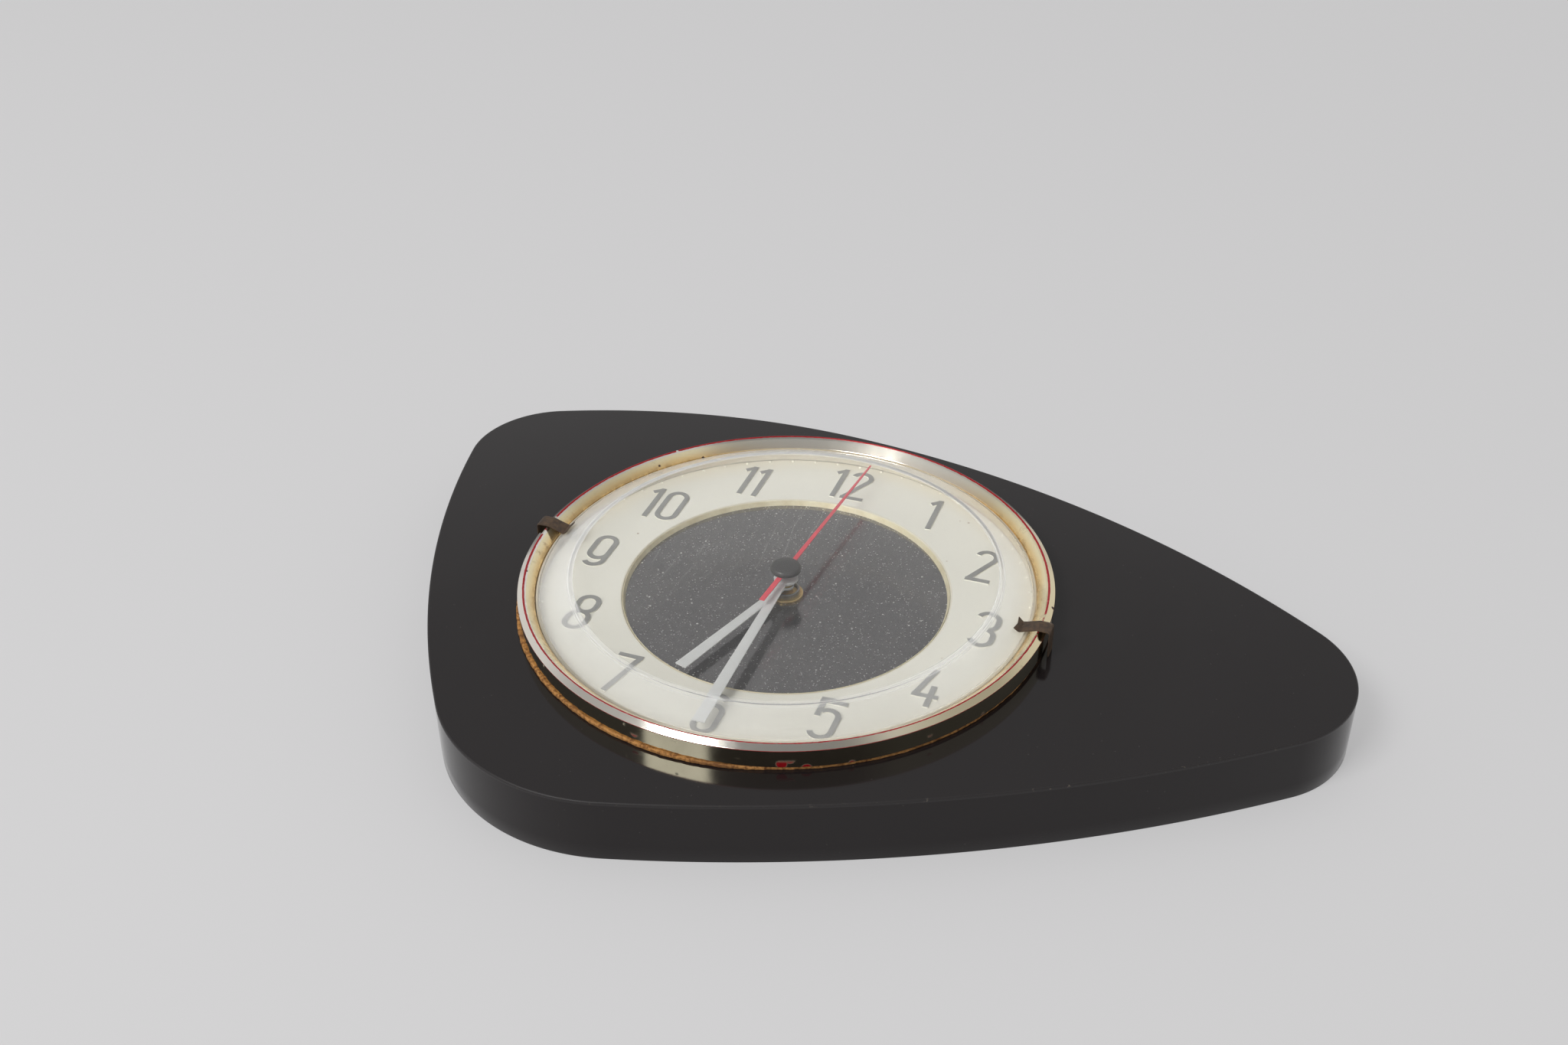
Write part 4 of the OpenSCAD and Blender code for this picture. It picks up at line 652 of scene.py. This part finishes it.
# One finish for each material slot of the record, and two more for pieces of this script alone.
finishes = {
    "laminate": laminate("laminate", chips=False),
    "board": chipboard(),
    "hardboard": hardboard(),
    "gilt": bezel_gilt(),
    "cork": cork(),
    "brass": worked_metal("brass", (0.78, 0.58, 0.27), (0.60, 0.42, 0.18)),
    "crystal": clear_acrylic(),
    "rusty_steel": browned_steel(),
    "cream_paint": cream_enamel(),
    "grey_paint": raised_figures(),
    "dots": dot_gilt(),
    "dark_lining": dark_lining(),
    "gold_trim": worked_metal(
        "gold_trim", (0.80, 0.74, 0.54), (0.68, 0.60, 0.40), rough=0.3, metallic=0.35, size=4.0),
    "black_plastic": moulded("black_plastic", (0.016, 0.016, 0.016), (0.028, 0.027, 0.026)),
    "satin_aluminium": satin_hands(),
    "red_paint": moulded(
        "red_paint", (0.58, 0.055, 0.080), (0.66, 0.085, 0.11), rough=0.34, grain=0.7, depth=0.01),
    "black_gloss": moulded(
        "black_gloss", (0.034, 0.033, 0.033), (0.052, 0.050, 0.050), rough=0.3, grain=1.5, depth=0.01),
    "steel": worked_metal("steel", (0.56, 0.56, 0.57), (0.42, 0.42, 0.43), rough=0.25),
    "magnet": moulded("magnet", (0.09, 0.09, 0.10), (0.14, 0.14, 0.15), rough=0.4, grain=0.3, depth=0.03),
    "blued_steel": worked_metal("blued_steel", (0.05, 0.08, 0.26), (0.09, 0.07, 0.20), rough=0.2),
    "copper": wound_wire(),
    "white_plastic": moulded("white_plastic", (0.62, 0.59, 0.50), (0.68, 0.65, 0.57)),
    "card": moulded(
        "card", (0.20, 0.10, 0.035), (0.28, 0.15, 0.055), rough=0.4, grain=0.6, depth=0.03, clouds=3.0),
    "can": worked_metal("can", (0.62, 0.62, 0.62), (0.50, 0.50, 0.50), rough=0.22),
    "cell_jacket": moulded(
        "cell_jacket", (0.38, 0.05, 0.035), (0.46, 0.07, 0.05), rough=0.3, grain=2.0, depth=0.01,
        clouds=14.0),
}
edged_laminate = laminate("laminate_edge", chips=True)
cup_steel = worked_metal("cup_steel", (0.42, 0.42, 0.41), (0.16, 0.16, 0.16), rough=0.2)


# Board

centres, edge_r, outward = board_outline()


def edge_ring(inset, z):
    """The board's outline, inset, as one row of points at height z."""
    flat = centres + (edge_r - inset)[:, None] * outward
    return np.concatenate([flat, np.full((len(flat), 1), z)], 1)


def hole_ring(z):
    """Points on the round hole's edge, each in the direction of the outline's point."""
    flat = centres + edge_r[:, None] * outward
    flat = flat / np.hypot(flat[:, 0], flat[:, 1])[:, None] * CAVITY_R
    return np.concatenate([flat, np.full((len(flat), 1), z)], 1)


def front_sheet():
    """The glossy sheet: up its cut edge, over a quarter-round arris, across the face in rings that blend
    from the outline to the round hole, down the hole and back underneath. The rim mark is the distance
    from the edge in mm on the outer rings, and one far value on the inner ones."""
    far, insets = 10.0, (0.8, 1.4, 2.4, 4.0)
    turn = np.radians(np.linspace(0, 90, 7))
    rows = [edge_ring(0, BOARD_Z - SHEET_T)]
    rows += [edge_ring(ARRIS * (1 - math.cos(t)), BOARD_Z - ARRIS * (1 - math.sin(t))) for t in turn]
    rows += [edge_ring(inset, BOARD_Z) for inset in insets]
    marks = [1.0, *(ARRIS * (1 - math.cos(t)) for t in turn), *insets]
    for share in (0.25, 0.5, 0.75):
        rows.append(edge_ring(insets[-1], BOARD_Z) * (1 - share) + hole_ring(BOARD_Z) * share)
    rows += [hole_ring(BOARD_Z), hole_ring(BOARD_Z - SHEET_T)]
    marks += [far] * (len(rows) - len(marks))
    grid = np.stack(rows)
    rim = np.repeat(np.array(marks)[:, None], grid.shape[1], 1)
    piece("front_sheet", [grid], "root", ["front_laminate"], "laminate", material=edged_laminate, rim=[rim])


def edge_strip():
    """The band round the board's edge, from its slightly worn foot to the front sheet."""
    top = BOARD_Z - SHEET_T
    worn_foot = [(0.25, 0), (0.07, 0.07), (0, 0.25)]
    profile = [(0, top), (SHEET_T, top), (SHEET_T, 0), *worn_foot, (0, 5.0), (0, 10.0), (0, 15.0)]
    grid = np.stack([edge_ring(inset, z) for inset, z in profile])
    piece("edge_strip", [grid], "root", ["edge_band"], "laminate")


front_sheet()
edge_strip()


# Bezel, cork ring, crystal and clips

# Up the skirt's outside, over the crest, down the inner slope and the collar to the dial, and back
# along the inside of the sheet metal.
bezel_profile = rounded(
    [(SKIRT_R, 21.2), (SKIRT_R, SKIRT_Z), (CREST_R, 28.1), (74.8, 25.2), (74.8, 20.5), (77.4, 20.5),
     (77.4, 21.1), (75.4, 21.1), (75.4, 24.9), (CREST_R, 27.2), (79.2, 26.1), (79.2, 21.2)],
    [0.12, 0.22, 0.30, 0.3, 0.2, 0.2, 0.2, 0.1, 0.2, 0.2, 0.2, 0.12])
piece("bezel_ring", [lathe(bezel_profile, 360)], "root", ["bezel"], "gilt", sharp=40)


def ragged_edge(turns):
    """How far the cork stands out at each angle t: a sum of five sines a * sin(k * t + p), less 1.15 mm
    on the right, by the smooth step 0.5 + 0.5 * tanh(9 * (cos(t + 0.25) - 0.45))."""
    t = np.radians(np.arange(turns) * 360 / turns)
    sines = sum(a * np.sin(k * t + p) for k, a, p in (
        (7, 0.06, 0.4), (23, 0.05, 2.0), (61, 0.05, 1.1), (127, 0.05, 4.0), (211, 0.04, 5.2)))
    return sines - 1.15 * (0.5 + 0.5 * np.tanh((np.cos(t + 0.25) - 0.45) * 9))


cork_profile = rounded([(80.55, 20.02), (80.55, 21.1), (77.9, 21.1), (77.9, 20.02)], [0.3, 0.35, 0.1, 0.1])
piece("cork_ring", [lathe(cork_profile, 720, ragged_edge(720))], "root", ["bezel_gasket"], "cork", sharp=60)


def crystal_profile():
    """Outer dome, a soft shoulder, the sloping wall, an upright rim, and the inner faces one wall inside.
    The dome is z = top - (R - sqrt(R * R - r * r)), which falls by 2 mm from the middle to the shoulder."""
    shoulder_z, rim_z, foot_z, rise, wall = 30.1, 25.0, 20.5, 2.0, 1.2
    radius = (SHOULDER_R ** 2 + rise ** 2) / (2 * rise)

    def dome(start_r, end_r, top):
        """Forty points of a dome whose middle lies at height top."""
        r = np.linspace(start_r, end_r, 40)
        return np.stack([r, top - (radius - np.sqrt(radius ** 2 - r ** 2))], -1)

    outer = dome(0, SHOULDER_R - 1.6, shoulder_z + rise)
    inner = dome(SHOULDER_R - 2.0, 0, shoulder_z + rise - wall)
    slope = (shoulder_z - rim_z) / (RIM_R - SHOULDER_R)
    inner_rim_z = rim_z + wall * slope - wall * math.hypot(1, slope)
    corners = rounded(
        [outer[-1], (SHOULDER_R, shoulder_z), (RIM_R, rim_z), (RIM_R, foot_z), (RIM_R - wall, foot_z),
         (RIM_R - wall, inner_rim_z), (SHOULDER_R - 0.5, shoulder_z - wall), inner[0]],
        [0, 0.9, 0.5, 0.15, 0.15, 0.5, 0.8, 0], 8)
    return np.concatenate([outer[:-1], corners, inner[1:]])


piece("clear_crystal", [lathe(crystal_profile(), 360)], "root", ["crystal"], "crystal", sharp=50)


def clip(angle):
    """A spring clip as a bent strip: the middle line runs up outside the skirt, over the crest and down to
    the crystal, where its end flares up and is dished. The section is a rounded strip set square to it."""
    half_t, half_w, flare, dish_depth, tongue = 0.24, 2.5, 0.35, 0.55, 0.7
    flare_from, dish_from, places = 4.0, 2.2, 11
    middle = rounded([(81.25, 20.02), (81.25, 28.5), (77.6, 28.55), (72.45, 26.75), (70.9, 27.55)],
                     [0, 0.8, 0.5, 0.4, 0], 6)
    step = np.concatenate([[0], np.cumsum(np.hypot(*np.diff(middle, axis=0).T))])
    s = np.linspace(0, step[-1], 56)
    r, z = np.interp(s, step, middle[:, 0]), np.interp(s, step, middle[:, 1])
    tangent = np.stack([np.gradient(r, s), np.gradient(z, s)], -1)
    tangent /= np.hypot(*tangent.T)[:, None]
    up = np.stack([tangent[:, 1], -tangent[:, 0]], -1) * half_t
    v = np.concatenate([np.linspace(-1, 1, places), np.linspace(1, -1, places)])
    side = np.repeat([1.0, -1.0], places) * (1 - np.abs(v) ** 12 * 0.5)
    to_end = s[-1] - s
    half = half_w + flare * np.clip(1 - to_end / flare_from, 0, 1) ** 2
    end = np.clip(1 - to_end / dish_from, 0, 1)[:, None]
    radial = r[:, None] + up[:, :1] * side + end * tongue * (1 - v ** 2)
    height = z[:, None] + up[:, 1:] * side + end ** 2 * dish_depth * v ** 2
    return strip(np.stack([radial, half[:, None] * v, height], -1), angle)


piece("spring_clips", [clip(-2), clip(180)], "root", ["crystal_clips"], "rusty_steel", sharp=50)


# Dial

dial_profile = rounded(
    [(77.4, DIAL_Z - DIAL_T), (77.4, DIAL_Z), (PAN_R, DIAL_Z), (PAN_R, PAN_Z), (BORE_R, PAN_Z),
     (BORE_R, PAN_Z - DIAL_T), (PAN_R + DIAL_T, PAN_Z - DIAL_T), (PAN_R + DIAL_T, DIAL_Z - DIAL_T)],
    [0.1, 0.2, 0.35, 0.1, 0.1, 0.1, 0.1, 0.1])
piece("dial_face", [lathe(dial_profile, 360)], "root", ["dial_sheet"], "cream_paint", sharp=40)

disc_profile = rounded(
    [(DISC_R, PAN_Z), (DISC_R, DISC_Z), (BORE_R, DISC_Z), (BORE_R, PAN_Z)], [0.05, 0.08, 0.08, 0.05])
piece("dark_disc", [lathe(disc_profile, 288)], "root", ["centre_disc"], "dark_lining", sharp=40)

trim_profile = rounded(
    [(DISC_R, DISC_Z), (DISC_R, 20.4), (DISC_R - 0.2, 20.4), (DISC_R - 0.8, DISC_Z)],
    [0.05, 0.08, 0.08, 0.05])
piece("gold_ring", [lathe(trim_profile, 360)], "root", ["trim_ring"], "gold_trim", sharp=50)


def dots():
    """Sixty small domes on a circle: rings of radius 0.5 cos t at height 0.35 sin t, closed underneath."""
    dot_r, dot_h, circle_r = 0.5, 0.35, 72.7
    t = np.radians(np.linspace(0, 90, 6))
    r = np.concatenate([[0], dot_r * np.cos(t)])
    r[-1] = 0
    z = DIAL_Z + np.concatenate([[0], dot_h * np.sin(t)])
    dome = lathe(np.stack([r, z], -1), 14)
    return [dome + np.array([x, y, 0]) for x, y in directions(np.arange(60) * 6) * circle_r]


piece("dial_dots", dots(), "root", ["minute_dots"], "dots", sharp=60)

flange_top = 19.6
nut_profile = rounded(
    [(5.13, DISC_Z), (5.13, flange_top), (BORE_R, flange_top), (BORE_R, DISC_Z)], [0.15, 0.22, 0.05, 0.05])
piece("nut_flange", [lathe(nut_profile, 96)], "root", ["centre_nut"], "brass", sharp=50)
cup_profile = rounded(
    [(4.13, flange_top), (4.13, 21.2), (3.53, 21.2), (3.53, flange_top)], [0.05, 0.2, 0.2, 0.05])
piece("nut_cup", [lathe(cup_profile, 96)], "root", [], "brass", sharp=50, material=cup_steel)


# Hands

def flat_hand(name, length, angle, z, bore, hub_r, hub_low, body, node):
    """A strip that widens evenly to its blunt end, and a hub ring turned about the axis."""
    thick, crown, narrow, widening, blunt = 0.34, 0.05, 1.3, 0.6, 0.14
    hub_top = z + 0.4
    s = np.concatenate([[bore + 0.25], np.linspace(bore + 1, length - 0.4, 24), [length - 0.12, length]])
    half = narrow + widening * s / length
    half[-1] -= blunt
    hub = rounded([(hub_r, hub_low), (hub_r, hub_top), (bore, hub_top), (bore, hub_low)],
                  [0.1, 0.15, 0.05, 0.05])
    bar = blade(s, half, z, z + thick, crown, angle)
    piece(name, [bar, lathe(hub, 72)], body, [node], "satin_aluminium", sharp=40)


flat_hand("hour_strip", length=48.6, angle=HOUR_ANGLE, z=22.0, bore=2.02, hub_r=2.42, hub_low=21.6,
          body="hours", node="hour_hand")
flat_hand("minute_strip", length=69.5, angle=MINUTE_ANGLE, z=24.6, bore=1.21, hub_r=3.63, hub_low=24.2,
          body="minutes", node="minute_hand")


def seconds_needle():
    """A needle that narrows evenly to its point, an even tail behind the axis, and a boss round it."""
    half_w, narrowing, high_z, crown = 0.8, 0.5, 27.68, 0.02
    tail_r, boss_r, bore = 16.5, 2.3, 0.5
    needle = np.linspace(half_w, NEEDLE_R, 28)
    tail = np.linspace(-tail_r, -half_w, 8)
    boss = rounded([(boss_r, NEEDLE_Z), (boss_r, NEEDLE_TOP), (bore, NEEDLE_TOP), (bore, NEEDLE_Z)],
                   [0.05, 0.08, 0.05, 0.05])
    grids = [
        blade(needle, half_w - narrowing * needle / NEEDLE_R, NEEDLE_Z, high_z, crown, SECONDS_ANGLE),
        blade(tail, np.full(len(tail), half_w), NEEDLE_Z, high_z, crown, SECONDS_ANGLE),
        lathe(boss, 72)]
    piece("seconds_needle", grids, "seconds", ["seconds_hand"], "red_paint", sharp=40)


seconds_needle()

# From the middle of its socket outwards, up its side and over its crowned top.
cap_profile = rounded(
    [(0, 28.55), (0.5, 28.55), (0.5, NEEDLE_TOP), (4.6, NEEDLE_TOP), (4.6, 28.6), (4.2, 29.3), (2.4, 29.58),
     (0, 29.6)],
    [0, 0.02, 0.02, 0.12, 0.35, 0.6, 1.0, 0], 6)
piece("black_cap", [lathe(cap_profile, 96)], "seconds", ["seconds_cap"], "black_gloss", sharp=40)


# Each CAD piece gets its slot's finish, whether it stays or is replaced.
for entry in frame["record"]["subparts"]:
    mesh = frame["nodes"][entry["node"]].data
    mesh.materials.clear()
    mesh.materials.append(finishes[entry["material_slot"]])


# Floor, light and camera

def stage_plane(half):
    """A square of pale floor under the clock, whose half side is in metres. Of what is seen of it,
    straight or in gloss or through the crystal, one half is an even glow."""
    mesh = bpy.data.meshes.new("floor")
    corners = [(-half, -half, 0), (half, -half, 0), (half, half, 0), (-half, half, 0)]
    mesh.from_pydata(corners, [], [(0, 1, 2, 3)])
    floor = placed("floor", mesh)
    paint = Paint("floor", Base_Color=(0.66, 0.655, 0.66), Roughness=0.6, Specular_IOR_Level=0.2)
    seen, glossy, through = (paint.node("ShaderNodeLightPath", {}, {}, way) for way in (
        "Is Camera Ray", "Is Glossy Ray", "Is Transmission Ray"))
    seen = seen.maths("MAXIMUM", glossy).maths("MAXIMUM", through)
    glow = paint.node("ShaderNodeEmission", {}, {"Color": (0.71, 0.705, 0.71), "Strength": 1.0})
    paint.show(paint.blend(seen * 0.5, paint.main, glow))
    mesh.materials.append(paint.material)


def softbox(name, towards, distance, width, height, watts):
    """An area lamp that faces the dial from the given direction, with its sizes in metres."""
    lamp = bpy.data.lights.new(name, "AREA")
    lamp.shape = "RECTANGLE"
    lamp.size = width
    lamp.size_y = height
    lamp.energy = watts
    away = Vector(towards).normalized()
    made = placed(name, lamp)
    made.location = Vector(AXIS * MM) + away * distance
    made.rotation_mode = "QUATERNION"
    made.rotation_quaternion = (-away).to_track_quat("-Z", "Y")


def sky(stops, shaded):
    """A plain grey surround. Its brightness runs through the stops as the direction rises from level to
    upright, and it is darker in the direction shaded."""
    world = bpy.data.worlds.new("surround")
    bpy.context.scene.world = world
    world.use_nodes = True
    graph = Graph(world.node_tree)
    way = graph.node("ShaderNodeTexCoord", {}, {}, "Generated")
    height = graph.node("ShaderNodeSeparateXYZ", {}, {0: way}, 2)
    grey = graph.node("ShaderNodeValToRGB", {"stops": [(at, (v, v, v)) for at, v in stops]}, {0: height})
    dot_product = {"operation": "DOT_PRODUCT"}
    facing = graph.node("ShaderNodeVectorMath", dot_product, {0: way, 1: shaded}, "Value")
    background = world.node_tree.nodes["Background"]
    graph.feed(background.inputs["Color"], grey)
    graph.feed(background.inputs["Strength"], 1 - 0.6 * graph.ease(facing, 0.82, 0.95))


def photo_camera():
    """A camera with the photograph's place, angle and lens. Its place is in mm from the dial's axis. It
    looks against the direction of azimuth and elevation, turned by roll about its own axis."""
    camera = bpy.data.cameras.new("camera")
    camera.sensor_width = 36.0
    camera.lens = 40.196
    camera.clip_start = 0.01
    camera.clip_end = 50
    azimuth, elevation, roll = (math.radians(v) for v in (20.26, 33.78, -0.671))
    place = Vector((147.27, -400.11, 330.47))
    level = Vector((math.cos(azimuth), math.sin(azimuth), 0))
    aside = Vector((math.sin(azimuth), -math.cos(azimuth), 0))
    back = aside * math.cos(elevation) + Vector((0, 0, math.sin(elevation)))
    upright = back.cross(level)
    right = level * math.cos(roll) + upright * math.sin(roll)
    up = upright * math.cos(roll) - level * math.sin(roll)
    turned = Matrix((right, up, back)).transposed().to_4x4()
    eye = placed("camera", camera)
    eye.matrix_world = Matrix.Translation((Vector(AXIS) + place) * MM) @ turned
    bpy.context.scene.camera = eye


stage_plane(half=6.0)
sky(stops=[(0.0, 0.70), (0.42, 0.66), (0.58, 0.40), (0.72, 0.42), (0.86, 0.60)],
    shaded=(0.22, -0.60, 0.77))
softbox("near_light", towards=(-0.31, -0.595, 0.743), distance=2.2, width=0.86, height=0.72, watts=23)
photo_camera()
bpy.context.scene.view_settings.view_transform = "Standard"
